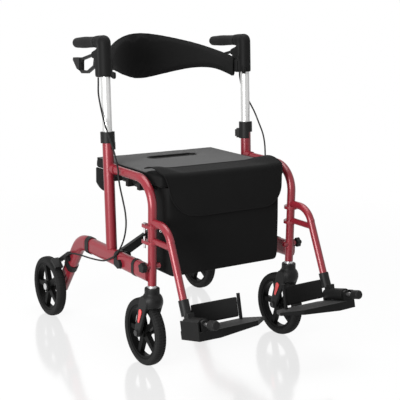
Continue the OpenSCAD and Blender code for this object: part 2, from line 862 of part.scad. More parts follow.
// Frame of the footplate's pivot: x sideways, y back along the pivot, z up square to the plate
module at_plate() {
    translate([loop_x, plate_y, plate_z]) rotate([-plate_tilt, 0, 0]) children();
}

// Clamp on the hanger's end with the barrel that carries the footplate
module footrest_leg() {
    color(black_plastic) difference() {
        union() {
            leg_rod(clamp_low_z, clamp_top_z, clamp_r);
            at_plate() rod_y(0, -barrel_len / 2, barrel_len / 2, 0, barrel_r);
            at_plate() translate([-10, barrel_len / 2 - 22, -8]) cube([20, 22, 36]);
        }
        leg_rod(hanger_end_z, clamp_top_z + 10, hanger_r);
        at_plate() rod_y(0, -2 * barrel_len, 2 * barrel_len, 0, pivot_r + run);
    }
}

// Pivot rod through barrel and footplate with its rubber knob
module plate_pivot() {
    rear = barrel_len / 2 + lug_t + 2;
    front = -barrel_len / 2 - lug_t - 3;
    knob_from = front - 22;
    color(bright_metal) at_plate() {
        rod_y(0, knob_from, rear, 0, pivot_r);
        translate([0, knob_from, 0]) rotate([90, 0, 0]) rotate_extrude() union() {
            square([knob_end_r, 22]);
            square([knob_end_r - 5, 27]);
            translate([knob_end_r - 5, 22]) circle(5);
        }
    }
}

// Corners of the footplate's floor, seen from above
function floor_corners() = let (rear = barrel_len / 2 + lug_t, front = -barrel_len / 2 - lug_t)
    [[plate_out, front], [plate_out, rear - 6], [-plate_out, rear - 6], [-plate_out - 10, rear + 2],
    [32 - plate_in, rear + 2], [-plate_in, -8], [54 - plate_in, front - 2], [-plate_out - 16, front - 6]];

module footplate() {
    front = -barrel_len / 2 - lug_t;
    rear = barrel_len / 2 + 0.5;
    wall_t = 4;
    lug_r = 13;
    thin_from = plate_out + 16;
    color(black_plastic) at_plate() {
        difference() {
            union() {
                translate([0, 0, -plate_drop - plate_t]) linear_extrude(plate_t) polygon(floor_corners());
                for (y = [front, rear])
                    translate([0, y, 0]) front_plate(0, lug_t - 0.5) {
                        circle(lug_r);
                        translate([-lug_r, -plate_drop - 1]) square([2 * lug_r, plate_drop + 1]);
                    }
                translate([plate_out - wall_t, front, -plate_drop - 1])
                    cube([wall_t, barrel_len + lug_t, plate_drop + 11]);
            }
            rod_y(0, 2 * front, 2 * rear, 0, pivot_r + run);
            translate([-thin_from, 0, -plate_drop - plate_t])
                rotate([0, atan((plate_t - plate_tip_t) / (plate_in - thin_from)), 0])
                    translate([-2 * plate_in, -plate_in, -plate_in]) cube([2 * plate_in, 2 * plate_in, plate_in]);
            translate([heel_x, heel_y, -plate_drop - plate_t - past]) cylinder(r = 2, h = plate_t - 4);
        }
        translate([heel_x, heel_y, -plate_drop - 1]) cylinder(r = heel_post_r, h = heel_post_h + 1);
    }
}

// Wide webbing from the clamp to the heel post, bowed back
module heel_strap() {
    from = [heel_x + heel_post_r + 2 * clear, heel_y];
    to = [strap_end_x, strap_end_y];
    chord = norm(to - from);
    r = chord * chord / (8 * strap_bow) + strap_bow / 2;
    aim = atan2(to[1] - from[1], to[0] - from[0]);
    half = asin(chord / 2 / r);
    color(black_cloth) at_plate() translate([from[0], from[1], -10]) rotate(aim)
        translate([chord / 2, strap_bow - r, 0]) rotate(90 - half)
            rotate_extrude(angle = 2 * half) translate([r - strap_t / 2, 0]) square([strap_t, strap_h]);
}

module post_knob() {
    from = rail_out_x + 1.5;
    lobes = 5;
    color(black_plastic) {
        rod_x(loop_x - 10, from + 2, front_y, knob_z, knob_stem_r);
        side_plate(from, knob_t) translate([front_y, knob_z]) {
            circle(knob_r - 3);
            for (i = [0 : lobes - 1])
                rotate(90 + i * 360 / lobes) translate([knob_r - 5.5, 0]) circle(5.5);
        }
    }
}

// Flat arm from the lower right pivot to the left seat rail, drawn for one side of the brace
module brace_arm(y0) {
    difference() {
        union() {
            front_plate(y0, y0 + arm_t)
                bar_outline([-brace_x, brace_z], arm_foot_r, [seat_rail_x, seat_rail_z], seat_rail_r);
            rod_y(-brace_x, barrel_ys[0], barrel_ys[1], brace_z, brace_pivot_r + 5);
            rod_y(seat_rail_x, seat_rail_ys[0], seat_rail_ys[1], seat_rail_z, seat_rail_r);
        }
        rod_y(-brace_x, barrel_ys[0] - past, barrel_ys[1] + past, brace_z, brace_pivot_r + run);
        rod_y(0, y0 - past, y0 + arm_t + past, brace_mid_z, brace_pin_r + run);
        rod_y(seat_rail_x, seat_rail_ys[0] - past, seat_rail_ys[1] + past, seat_rail_z,
            seat_rail_r - tube_wall);
    }
}

module brace_arm_a() {
    color(black_plastic) brace_arm(brace_y + arm_half_gap);
}

module brace_arm_b() {
    color(black_plastic) mirror([1, 0, 0]) brace_arm(brace_y - arm_half_gap - arm_t);
}

module brace_pin() {
    half = arm_half_gap + arm_t + 0.4;
    color(bright_metal) {
        rod_y(0, brace_y - half, brace_y + half, brace_mid_z, brace_pin_r);
        for (y = [brace_y - half - 4, brace_y + half])
            rod_y(0, y, y + 4, brace_mid_z, brace_pin_r + 5);
        difference() {
            rod_y(0, brace_y - arm_half_gap + 0.2, brace_y + arm_half_gap - 0.2, brace_mid_z,
                brace_pin_r + 6);
            rod_y(0, brace_y - half, brace_y + half, brace_mid_z, brace_pin_r - 0.5);
        }
    }
}

// Corners of a soft rounded rectangle whose sides draw in between its corners
function pillow_ring(half_w, half_d, mid_y, z, corner, draw, count) = [for (k = [0 : count - 1])
    let (a = k * 360 / count,
        c = pow(abs(cos(a)), 2 / corner) * sign(cos(a)),
        s = pow(abs(sin(a)), 2 / corner) * sign(sin(a)),
        pull = draw * pow(cos(2 * a), 2))
    [(half_w - pull) * c, mid_y + (half_d - pull) * s, z]];

// Closed stack of rings with as many points each, first ring lowest
module ring_stack(rings) {
    count = len(rings[0]);
    last = len(rings) - 1;
    low = sum_points(rings[0]) / count;
    high = sum_points(rings[last]) / count;
    points = concat([for (r = rings) each r], [low, high]);
    skin = [for (i = [0 : last - 1], k = [0 : count - 1])
        let (a = i * count + k, b = i * count + (k + 1) % count)
        each [[a, a + count, b], [b, a + count, b + count]]];
    caps = [for (k = [0 : count - 1]) each [[len(points) - 2, k, (k + 1) % count],
        [len(points) - 1, last * count + (k + 1) % count, last * count + k]]];
    polyhedron(points, concat(skin, caps));
}

function sum_points(p, i = 0) = i == len(p) - 1 ? p[i] : p[i] + sum_points(p, i + 1);

module seat() {
    mid_y = (seat_front + seat_rear) / 2;
    half_w = seat_w / 2;
    half_d = (seat_rear - seat_front) / 2;
    // Inset from the outline and share of the thickness, from the underside to the crown
    steps = [[2, 0], [0.5, 0.12], [0, 0.3], [0, 0.66], [1, 0.82], [3.5, 0.92], [9, 0.965], [40, 0.985],
        [150, 1]];
    color(black_cloth) difference() {
        ring_stack([for (st = steps)
            pillow_ring(half_w - st[0], half_d - st[0], mid_y, seat_z + st[1] * seat_t, 40, 1.5, 64)]);
        translate([0, slot_y, seat_z - past])
            linear_extrude(seat_t + 2 * past) rotate(90) oval(slot_d, slot_w);
    }
    // Rounded tabs that hang from the seat's rear corners
    color(black_cloth) for (x = [-tab_x - tab_t, tab_x])
        side_plate(x, tab_t) intersection() {
            translate([seat_rear - tab_back - tab_len, seat_z + tab_lap]) circle(tab_r);
            translate([seat_rear - tab_back - tab_len, seat_z + tab_lap - tab_r - 2])
                square([tab_len, tab_r + 4]);
        }
}

// Box of cloth under the seat's front, slightly fuller below, with a panel up to the seat
module bag() {
    panel_top = seat_z + seat_t - panel_low;
    panel_half = seat_w / 2 - panel_in;
    front_top = seat_front - panel_t - panel_gap;
    // Height share, then the shares of taper and bulge at each level
    levels = [[0, 1, 0.88], [0.04, 0.68, 1], [0.12, 0.54, 1], [0.5, 0.24, 0.68], [0.85, 0.04, 0.16],
        [1, 0, 0]];
    color(black_cloth) {
        ring_stack([for (lv = levels)
            let (front = front_top - bag_bulge * lv[2],
                mid = (front + bag_back_y) / 2,
                half_w = seat_w / 2 - bag_top_in - bag_taper * lv[1])
            pillow_ring(half_w, (bag_back_y - front) / 2, mid, bag_z + lv[0] * (bag_top_z - bag_z),
                16, 2, 48)]);
        translate([-panel_half, front_top, bag_top_z - panel_lap])
            cube([2 * panel_half, panel_t, panel_top - bag_top_z + panel_lap]);
    }
}

// Bowed pad, tallest in its middle, whose lower edge rises and dips again towards its ends
module backrest() {
    count = 28;
    sides = 12;
    top_fall = back_mid_z - back_end_z + (back_h - back_end_h) / 2;
    low_rise = back_end_z - back_mid_z + (back_h - back_end_h) / 2;
    sections = [for (i = [0 : count])
        let (u = 2 * i / count - 1,
            top = back_mid_z + back_h / 2 - top_fall * (0.69 * u * u + 0.31 * pow(u, 4)),
            low = back_mid_z - back_h / 2 + low_rise * (6.5 * u * u - 5.5 * pow(u, 4)),
            half_h = (top - low) / 2,
            mid_z = (top + low) / 2,
            y = back_y + back_bow * (1 - 1.15 * u * u + 0.15 * pow(u, 4)),
            slope = back_bow * (0.6 * pow(u, 3) - 2.3 * u) / back_x,
            out = unit([-slope, 1, 0]))
        [for (k = [0 : sides - 1])
            let (a = -k * 360 / sides,
                c = pow(abs(cos(a)), 0.6) * sign(cos(a)),
                s = pow(abs(sin(a)), 0.5) * sign(sin(a)))
            [u * back_x, y, mid_z] + out * back_t / 2 * c + [0, 0, half_h * s]]];
    color(black_cloth) ring_stack(sections);
}

on_right() rear_post();  // rear_post_right
on_left() rear_post();  // rear_post_left
on_right() front_loop();  // front_loop_right
on_left() front_loop();  // front_loop_left
on_right() lower_rail();  // lower_rail_right
on_left() lower_rail();  // lower_rail_left
on_right() frame_clips();  // frame_clips_right
on_left() frame_clips();  // frame_clips_left
on_right() height_collar();  // height_collar_right
on_left() height_collar();  // height_collar_left
on_right() height_button();  // height_button_right
on_left() height_button();  // height_button_left
on_right() rear_axle();  // rear_axle_right
on_left() rear_axle();  // rear_axle_left
on_right() brake_cable();  // brake_cable_right
on_left() brake_cable();  // brake_cable_left
on_right() brake_arm();  // brake_arm_right
on_left() brake_arm();  // brake_arm_left
on_right() rear_wheel();  // rear_wheel_right
on_left() rear_wheel();  // rear_wheel_left
on_right() rear_tyre();  // rear_tyre_right
on_left() rear_tyre();  // rear_tyre_left
on_right() caster_fork();  // caster_fork_right
on_left() caster_fork();  // caster_fork_left
on_right() caster_bolts();  // caster_bolts_right
on_left() caster_bolts();  // caster_bolts_left
on_right() caster_reflectors();  // caster_reflectors_right
on_left() caster_reflectors();  // caster_reflectors_left
on_right() front_wheel();  // front_wheel_right
on_left() front_wheel();  // front_wheel_left
on_right() front_tyre();  // front_tyre_right
on_left() front_tyre();  // front_tyre_left
on_right() handle_tube();  // handle_tube_right
on_left() handle_tube();  // handle_tube_left
on_right() handle_body();  // handle_body_right
on_left() handle_body();  // handle_body_left
on_right() grip();  // grip_right
on_left() grip();  // grip_left
on_right() brake_lever();  // brake_lever_right
on_left() brake_lever();  // brake_lever_left
on_right() footrest_hanger();  // footrest_hanger_right
on_left() footrest_hanger();  // footrest_hanger_left
on_right() hanger_pin();  // hanger_pin_right
on_left() hanger_pin();  // hanger_pin_left
on_right() footrest_leg();  // footrest_leg_right
on_left() footrest_leg();  // footrest_leg_left
on_right() plate_pivot();  // plate_pivot_right
on_left() plate_pivot();  // plate_pivot_left
on_right() footplate();  // footplate_right
on_left() footplate();  // footplate_left
on_right() heel_strap();  // heel_strap_right
on_left() heel_strap();  // heel_strap_left
on_right() post_knob();  // post_knob_right
on_left() post_knob();  // post_knob_left
brace_arm_a();
brace_arm_b();
brace_pin();
seat();
bag();
backrest();
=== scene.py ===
from math import atan2, cos, pi, radians, sin, sqrt
import bpy
import bmesh
import numpy as np
from mathutils import Matrix, Quaternion, Vector, noise
from mathutils.bvhtree import BVHTree


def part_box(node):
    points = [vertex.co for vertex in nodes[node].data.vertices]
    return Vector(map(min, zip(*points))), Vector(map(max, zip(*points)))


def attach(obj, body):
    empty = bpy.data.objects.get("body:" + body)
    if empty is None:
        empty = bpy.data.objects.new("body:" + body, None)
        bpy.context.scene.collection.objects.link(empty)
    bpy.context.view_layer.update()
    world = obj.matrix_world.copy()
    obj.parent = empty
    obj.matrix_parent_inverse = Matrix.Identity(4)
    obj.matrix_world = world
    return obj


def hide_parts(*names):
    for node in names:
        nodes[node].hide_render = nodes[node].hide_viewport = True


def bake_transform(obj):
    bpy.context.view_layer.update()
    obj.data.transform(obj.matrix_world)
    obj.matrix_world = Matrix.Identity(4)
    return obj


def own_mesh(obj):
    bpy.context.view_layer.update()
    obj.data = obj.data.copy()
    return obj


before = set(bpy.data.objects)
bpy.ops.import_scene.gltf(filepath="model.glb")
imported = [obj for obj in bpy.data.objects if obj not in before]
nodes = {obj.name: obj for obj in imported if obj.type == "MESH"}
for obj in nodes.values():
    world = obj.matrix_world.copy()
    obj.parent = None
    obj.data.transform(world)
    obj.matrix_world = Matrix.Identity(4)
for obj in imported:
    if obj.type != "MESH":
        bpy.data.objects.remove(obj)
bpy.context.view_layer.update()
scene = bpy.context.scene
sides = {"right": -1, "left": 1}
weld = 0.00001

# camera at the photograph's place
cameraSetup = {"place": (-1.57507, -2.37648, 1.05209), "aim": (0.04506, 0.021, 0.42915),
    "lens": 84.516, "roll": 0.9}


def placeCamera(setup):
    lens = bpy.data.cameras.new("studioCamera")
    lens.lens = setup["lens"]
    lens.sensor_width = 36
    lens.clip_end = 60
    camera = bpy.data.objects.new("studioCamera", lens)
    scene.collection.objects.link(camera)
    place = Vector(setup["place"])
    look = (Vector(setup["aim"]) - place).to_track_quat("-Z", "Y")
    camera.location = place
    camera.rotation_euler = (look @ Quaternion((0, 0, 1), radians(setup["roll"]))).to_euler()
    scene.camera = camera


placeCamera(cameraSetup)
print("camera placed")


# one shader socket that can stand in a sum
class Value:
    def __init__(self, tree, socket):
        self.tree, self.socket = tree, socket

    def math(self, operation, *terms):
        made = self.tree.nodes.new("ShaderNodeMath")
        made.operation = operation
        for place, term in zip(made.inputs, terms):
            plug(self.tree, place, term)
        return Value(self.tree, made.outputs[0])

    def __add__(self, other): return self.math("ADD", self, other)
    def __radd__(self, other): return self.math("ADD", other, self)
    def __sub__(self, other): return self.math("SUBTRACT", self, other)
    def __rsub__(self, other): return self.math("SUBTRACT", other, self)
    def __mul__(self, other): return self.math("MULTIPLY", self, other)
    def __rmul__(self, other): return self.math("MULTIPLY", other, self)
    def __truediv__(self, other): return self.math("DIVIDE", self, other)
    def __pow__(self, other): return self.math("POWER", self, other)
    def __abs__(self): return self.math("ABSOLUTE", self)
    def wave(self): return self.math("SINE", self)
    def over(self, level): return self.math("GREATER_THAN", self, level)
    def kept(self): return self.math("MINIMUM", self.math("MAXIMUM", self, 0), 1)


def plug(tree, place, term):
    if isinstance(term, Value):
        tree.links.new(term.socket, place)
    else:
        place.default_value = term


shaderSockets = {"tone": "Base Color", "metallic": "Metallic", "roughness": "Roughness", "normal": "Normal",
    "gloss": "Specular IOR Level", "coat": "Coat Weight", "coatRoughness": "Coat Roughness", "sheen": "Sheen Weight",
    "sheenRoughness": "Sheen Roughness"}


# one material; varying values go only to the sockets that the export bakes
class Finish:
    def __init__(self, name):
        self.material = bpy.data.materials.new(name)
        self.material.use_nodes = True
        self.tree = self.material.node_tree
        self.tree.nodes.clear()
        self.place = self.node("TexCoord", out="Object")

    def node(self, kind, settings={}, sockets={}, out=0):
        made = self.tree.nodes.new("ShaderNode" + kind)
        for key, value in settings.items():
            setattr(made, key, value)
        for key, value in sockets.items():
            plug(self.tree, made.inputs[key], value)
        return Value(self.tree, made.outputs[out]) if made.outputs else None

    def grain(self, scale, detail, stretch=None):
        where = self.place
        if stretch:
            where = self.node("Mapping", {}, {"Vector": where, "Scale": stretch})
        return self.node("TexNoise", {}, {"Vector": where, "Scale": scale, "Detail": detail})

    def blend(self, share, low, high):
        ends = [tone if isinstance(tone, Value) else (*tone, 1) for tone in (low, high)]
        return self.node("Mix", {"data_type": "RGBA"}, {0: share, 6: ends[0], 7: ends[1]}, 2)

    def bump(self, height, strength, depth, under=None):
        sockets = {"Height": height, "Strength": strength, "Distance": depth}
        if under:
            sockets["Normal"] = under
        return self.node("Bump", {}, sockets)

    def softEdge(self, radius):
        return self.node("Bevel", {"samples": 4}, {"Radius": radius})

    def parts(self, vector):
        made = self.tree.nodes.new("ShaderNodeSeparateXYZ")
        plug(self.tree, made.inputs[0], vector)
        return [Value(self.tree, s) for s in made.outputs]

    def shade(self, **values):
        return self.node("BsdfPrincipled", {}, {shaderSockets[key]: value for key, value in values.items()})

    def surface(self, shader):
        self.node("OutputMaterial", {}, {"Surface": shader})
        return self


def paintedTube():
    f = Finish("wineRedPaint")
    flake = f.grain(1400, 1)
    broad = f.grain(7, 2)
    tone = f.blend((flake * 0.7 + broad * 0.3).kept(), (0.175, 0.010, 0.018), (0.25, 0.020, 0.031))
    peel = f.bump(f.grain(420, 1), 0.12, 0.0002, f.softEdge(0.0012))
    return f.surface(f.shade(tone=tone, metallic=0.1, roughness=flake * 0.08 + 0.25, gloss=0.47, normal=peel))


def brushedTube():
    f = Finish("brightAluminium")
    lines = f.grain(900, 2, (1, 1, 0.02))
    broad = f.grain(9, 2)
    tone = f.blend(broad, (0.52, 0.52, 0.515), (0.59, 0.59, 0.585))
    normal = f.bump(lines, 0.03, 0.0001, f.softEdge(0.0006))
    return f.surface(f.shade(tone=tone, metallic=0.55, roughness=lines * 0.1 + 0.26, normal=normal))


def mouldedPlastic(name, low, high, rough, gloss):
    f = Finish(name)
    pebble = f.grain(1500, 1)
    broad = f.grain(14, 3)
    tone = f.blend((pebble * 0.35 + broad * 0.65).kept(), (low,) * 3, (high,) * 3)
    normal = f.bump(pebble, 0.16, 0.0003, f.softEdge(0.0014))
    return f.surface(f.shade(tone=tone, roughness=(broad * 0.14 + pebble * 0.08 + rough).kept(),
        gloss=gloss, normal=normal))


def pebbledPlastic():
    f = Finish("pebbledPlastic")
    cells = f.node("TexVoronoi", {"feature": "SMOOTH_F1"}, {"Vector": f.place, "Scale": 330.0}, "Distance")
    # faces that point up are painted lighter, as light from above on the plate's top, and only they get the pebbles
    top = f.parts(f.node("TexCoord", out="Normal"))[2].over(0.6)
    dots = (1 - cells * 1.6).kept() * top
    broad = f.grain(11, 3)
    tone = f.blend((broad * 0.15 + top * 0.55 + dots * 0.3).kept(), (0.002,) * 3, (0.05,) * 3)
    normal = f.bump(dots, 0.5, 0.0009, f.softEdge(0.0024))
    return f.surface(f.shade(tone=tone, roughness=broad * 0.16 + 0.46, gloss=0.09, normal=normal))


def rubber(name, low, high, rough, scale):
    f = Finish(name)
    skin = f.grain(scale, 3)
    broad = f.grain(18, 3)
    tone = f.blend((broad * 0.7 + skin * 0.3).kept(), (low,) * 3, (high,) * 3)
    normal = f.bump(skin, 0.22, 0.0004, f.softEdge(0.0008))
    return f.surface(f.shade(tone=tone, roughness=skin * 0.14 + rough, gloss=0.11, normal=normal))


def wovenCloth(name, low, high, rough, sheen, pitch=0.0014, side=None):
    f = Finish(name)
    k = 2 * pi / pitch
    x, y, z = [(v * k).wave() for v in f.parts(f.place)]
    facing = f.parts(f.node("TexCoord", out="Normal"))
    nx, ny, nz = [abs(v) ** 3 for v in facing]
    weave = (x * y * nz + x * z * ny + y * z * nx) / (nx + ny + nz + 0.001) * 0.5 + 0.5
    slub = f.grain(160, 2, (1, 0.2, 1))
    broad = f.grain(8, 3)
    tone = f.blend((broad * 0.6 + slub * 0.2 + weave * 0.2).kept(), low, high)
    # with side given, only faces that point up keep the cloth tone, as a painted sheen of light on the top; the other
    # faces take side
    if side:
        up = ((facing[2] - 0.7) / 0.22).kept()
        tone = f.blend(up, side, tone)
    normal = f.bump(weave, 0.28, 0.0003, f.bump(slub, 0.12, 0.0006))
    return f.surface(f.shade(tone=tone, roughness=(weave * 0.12 + rough).kept(), gloss=0.05,
        sheen=sheen, sheenRoughness=0.45, normal=normal))


def boltMetal():
    f = Finish("platedSteel")
    broad = f.grain(60, 3)
    tone = f.blend(broad, (0.52, 0.52, 0.53), (0.72, 0.72, 0.72))
    normal = f.bump(f.grain(700, 2), 0.1, 0.0002, f.softEdge(0.0006))
    return f.surface(f.shade(tone=tone, metallic=1.0, roughness=broad * 0.18 + 0.2, normal=normal))


# bright swivel stem above stemFrom, dark axle bolt below it
stemFrom = 0.16


def stemAndAxle():
    f = Finish("stemAndAxle")
    stem = f.parts(f.place)[2].over(stemFrom)
    broad = f.grain(60, 3)
    dark = f.blend(broad, (0.02,) * 3, (0.034,) * 3)
    bright = f.blend(broad, (0.52, 0.52, 0.53), (0.72, 0.72, 0.72))
    tone = f.blend(stem, dark, bright)
    normal = f.bump(f.grain(700, 2), 0.1, 0.0002, f.softEdge(0.0006))
    return f.surface(f.shade(tone=tone, metallic=stem, roughness=broad * 0.18 + 0.3, gloss=0.2, normal=normal))


def lensRed():
    f = Finish("redLens")
    cells = f.node("TexVoronoi", {}, {"Vector": f.place, "Scale": 420.0}, "Distance")
    tone = f.blend(cells, (0.50, 0.008, 0.010), (0.74, 0.02, 0.02))
    normal = f.bump(cells, 0.4, 0.0006)
    return f.surface(f.shade(tone=tone, roughness=cells * 0.1 + 0.16, coat=0.8, coatRoughness=0.06,
        normal=normal))


# the footplates' rods: a point on the left one, its tilt, and where its end knob gives way to steel
plateMake = {"pivot": (0.250, -0.404, 0.203), "tilt": 14, "knobEnd": -0.0732}


def knobAndRod():
    f = Finish("knobAndRod")
    y, z = f.parts(f.place)[1:]
    tilt = radians(plateMake["tilt"])
    along = (y - plateMake["pivot"][1]) * cos(tilt) - (z - plateMake["pivot"][2]) * sin(tilt)
    rod = along.over(plateMake["knobEnd"])
    broad = f.grain(40, 3)
    dark = f.blend(broad, (0.006,) * 3, (0.012,) * 3)
    steel = f.blend(broad, (0.55,) * 3, (0.72,) * 3)
    tone = f.blend(rod, dark, steel)
    normal = f.bump(f.grain(1200, 1), 0.12, 0.0002, f.softEdge(0.001))
    return f.surface(f.shade(tone=tone, metallic=rod, roughness=0.5 - rod * 0.24 + broad * 0.1, gloss=0.14,
        normal=normal))


def sheathFinish():
    f = Finish("cableSheath")
    skin = f.grain(500, 2)
    tone = f.blend(skin, (0.008,) * 3, (0.016,) * 3)
    normal = f.bump(skin, 0.15, 0.0002)
    return f.surface(f.shade(tone=tone, roughness=skin * 0.14 + 0.46, gloss=0.12, normal=normal))


paint = paintedTube()
brightTube = brushedTube()
blackPlastic = mouldedPlastic("satinBlackPlastic", 0.006, 0.012, 0.36, 0.14)
handlePlastic = mouldedPlastic("softBlackPlastic", 0.005, 0.009, 0.46, 0.08)
wheelPlastic = mouldedPlastic("wheelPlastic", 0.002, 0.005, 0.34, 0.06)
blackPaint = mouldedPlastic("blackPowderPaint", 0.005, 0.010, 0.28, 0.2)
platePlastic = pebbledPlastic()
tyreRubber = rubber("tyreRubber", 0.007, 0.014, 0.6, 700)
gripRubber = rubber("gripRubber", 0.006, 0.011, 0.56, 1100)
# seat cloth: near black, as its side tone; the grey on its upward faces is a painted sheen
seatCloth = wovenCloth("seatCloth", (0.080,) * 3, (0.098,) * 3, 0.62, 0.03, side=(0.010,) * 3)
bagCloth = wovenCloth("bagCloth", (0.007,) * 3, (0.011,) * 3, 0.66, 0.01)
backCloth = wovenCloth("backCloth", (0.007,) * 3, (0.011,) * 3, 0.64, 0.01, 0.0012)
strapWeb = wovenCloth("strapWeb", (0.010,) * 3, (0.018,) * 3, 0.66, 0.015, 0.0022)
boltSteel = boltMetal()
casterSteel = stemAndAxle()
redLens = lensRed()
knobRod = knobAndRod()
cableSheath = sheathFinish()

cadFinishes = {
    paint: ("rear_post", "front_loop", "lower_rail", "footrest_hanger"),
    blackPlastic: ("frame_clips", "height_collar", "height_button", "brake_arm", "brake_lever", "footrest_leg",
        "post_knob", "caster_fork"),
    handlePlastic: ("handle_body",),
    platePlastic: ("footplate",),
    boltSteel: ("rear_axle", "hanger_pin", "brace_pin"),
    casterSteel: ("caster_bolts",),
    wheelPlastic: ("rear_wheel", "front_wheel"),
    tyreRubber: ("rear_tyre", "front_tyre"),
    redLens: ("caster_reflectors",),
    brightTube: ("handle_tube",),
    gripRubber: ("grip",),
    knobRod: ("plate_pivot",),
    cableSheath: ("brake_cable",),
    blackPaint: ("brace_arm",),
    strapWeb: ("heel_strap",),
    seatCloth: ("seat",),
    bagCloth: ("bag",),
    backCloth: ("backrest",),
}
for finish, starts in cadFinishes.items():
    for name, node in nodes.items():
        if name.startswith(starts):
            for slot in node.material_slots:
                slot.material = finish.material
print("finishes on", len(nodes), "CAD nodes")


def addPiece(name, mesh, finish):
    piece = bpy.data.objects.new(name, mesh)
    scene.collection.objects.link(piece)
    mesh.materials.clear()
    mesh.materials.append(finish.material)
    return piece


def meshFrom(bm, name, sharp=None):
    bmesh.ops.remove_doubles(bm, verts=bm.verts, dist=weld)
    bmesh.ops.recalc_face_normals(bm, faces=bm.faces)
    mesh = bpy.data.meshes.new(name)
    bm.to_mesh(mesh)
    bm.free()
    mesh.polygons.foreach_set("use_smooth", [True] * len(mesh.polygons))
    if sharp:
        mesh.set_sharp_from_angle(angle=radians(sharp))
    return mesh


def evaluated(holder):
    return bpy.data.meshes.new_from_object(holder.evaluated_get(bpy.context.evaluated_depsgraph_get()))


def tubeMesh(name, points, radius, closed=False, rings=3):
    curve = bpy.data.curves.new(name, "CURVE")
    curve.dimensions = "3D"
    curve.bevel_depth = radius
    curve.bevel_resolution = rings
    curve.use_fill_caps = True
    line = curve.splines.new("POLY")
    line.points.add(len(points) - 1)
    for spot, place in zip(line.points, points):
        spot.co = (*place, 1)
    line.use_cyclic_u = closed
    holder = bpy.data.objects.new(name, curve)
    scene.collection.objects.link(holder)
    mesh = evaluated(holder)
    bpy.data.objects.remove(holder)
    mesh.polygons.foreach_set("use_smooth", [True] * len(mesh.polygons))
    return mesh


# even quads over a closed mesh
def settled(mesh, voxel):
    holder = bpy.data.objects.new("settling", mesh)
    scene.collection.objects.link(holder)
    grid = holder.modifiers.new("voxels", "REMESH")
    grid.mode = "VOXEL"
    grid.voxel_size = voxel
    grid.use_smooth_shade = True
    made = evaluated(holder)
    bpy.data.objects.remove(holder)
    return made


# cloth swells a pad, and no point moves further than cap times its own share
swellMake = {"pressure": 4, "frames": 20}


def puffed(mesh, cap, shares):
    holder = bpy.data.objects.new("swelling", mesh)
    scene.collection.objects.link(holder)
    start = np.empty(len(mesh.vertices) * 3)
    mesh.vertices.foreach_get("co", start)
    swell = holder.modifiers.new("swell", "CLOTH")
    swell.settings.use_pressure = True
    swell.settings.uniform_pressure_force = swellMake["pressure"]
    swell.settings.effector_weights.gravity = 0
    swell.point_cache.frame_start = 1
    swell.point_cache.frame_end = swellMake["frames"]
    for step in range(1, swellMake["frames"] + 1):
        scene.frame_set(step)
    moved = evaluated(holder)
    end = np.empty(len(moved.vertices) * 3)
    moved.vertices.foreach_get("co", end)
    bpy.data.objects.remove(holder)
    bpy.data.meshes.remove(moved)
    scene.frame_set(1)
    shift = (end - start).reshape(-1, 3)
    far = np.linalg.norm(shift, axis=1)
    limit = cap * np.array([shares(v.co) for v in mesh.vertices])
    shift *= np.minimum(1, limit / np.maximum(far, 1e-9))[:, None]
    mesh.vertices.foreach_set("co", (start.reshape(-1, 3) + shift).ravel())
    mesh.update()
    return mesh


def smoother(piece):
    soft = piece.modifiers.new("soft", "SUBSURF")
    soft.levels = soft.render_levels = 1
    return piece


def walled(piece, thick, offset):
    wall = piece.modifiers.new("wall", "SOLIDIFY")
    wall.thickness, wall.offset = thick, offset
    return piece


def rounded(value, power):
    return abs(value) ** power * (1 if value >= 0 else -1)


# share of the way from start, kept between 0 and 1
def rampUp(value, start, over):
    return min(max((value - start) / over, 0), 1)


def eased(share):
    return share * share * (3 - 2 * share)


# rounded rectangle of points, as the CAD pillows have
def pillowRing(halfW, halfD, midY, z, corner, draw, count):
    ring = []
    for k in range(count):
        a = 2 * pi * k / count
        c, s = rounded(cos(a), 2 / corner), rounded(sin(a), 2 / corner)
        pull = draw * cos(2 * a) ** 2
        ring.append(Vector(((halfW - pull) * c, midY + (halfD - pull) * s, z)))
    return ring


def cutAway(bm, planes):
    for point, normal in planes:
        bmesh.ops.bisect_plane(bm, geom=bm.verts[:] + bm.edges[:] + bm.faces[:], plane_co=point, plane_no=normal,
            clear_outer=True)


def surfaceOf(mesh):
    bm = bmesh.new()
    bm.from_mesh(mesh)
    tree = BVHTree.FromBMesh(bm)
    bm.free()
    return tree


# a loop of edges drawn from ring to ring; joined has the last meet the first, and capped closes both ends
def loftLoops(rings, joined=False, capped=False):
    bm = bmesh.new()
    first = bmesh.ops.create_circle(bm, segments=len(rings[0]), radius=1, cap_ends=False)["verts"]
    for v, place in zip(first, rings[0]):
        v.co = place
    edges = list(bm.edges)
    startEdges = list(edges)
    row = list(first)
    for ring in rings[1:]:
        grown = bmesh.ops.extrude_edge_only(bm, edges=edges)["geom"]
        fresh = [g for g in grown if isinstance(g, bmesh.types.BMVert)]
        edges = [g for g in grown if isinstance(g, bmesh.types.BMEdge)
            and g.verts[0] in fresh and g.verts[1] in fresh]
        nearest = {}
        for v in fresh:
            mates = [e.other_vert(v) for e in v.link_edges if e.other_vert(v) not in fresh]
            nearest[mates[0]] = v
        row = [nearest[v] for v in row]
        for v, place in zip(row, ring):
            v.co = place
    if joined:
        bmesh.ops.bridge_loops(bm, edges=startEdges + edges)
    elif capped:
        bmesh.ops.edgeloop_fill(bm, edges=startEdges)
        bmesh.ops.edgeloop_fill(bm, edges=edges)
    return bm


# brake cables in mm, from under the lever housing down to the rear brakes
cableMake = {"radius": 0.0025, "steps": 5, "hold": 0.50, "free": 0.80, "route": (
    (260, 120, 816), (261, 118, 798), (265, 110, 768), (271, 84, 730), (276, 55, 693), (277, 29, 657), (276, 6, 626),
    (273, -9, 594), (270, -17, 562), (270, -20, 538), (270, -30, 508), (270, -46, 474), (270, -60, 440),
    (271, -66, 404), (273, -58, 364), (276, -38, 328), (279, -10, 300), (280, 20, 284), (280, 54, 270),
    (281, 100, 262), (281, 150, 256), (282, 200, 252), (283, 250, 246), (284, 285.3, 238))}


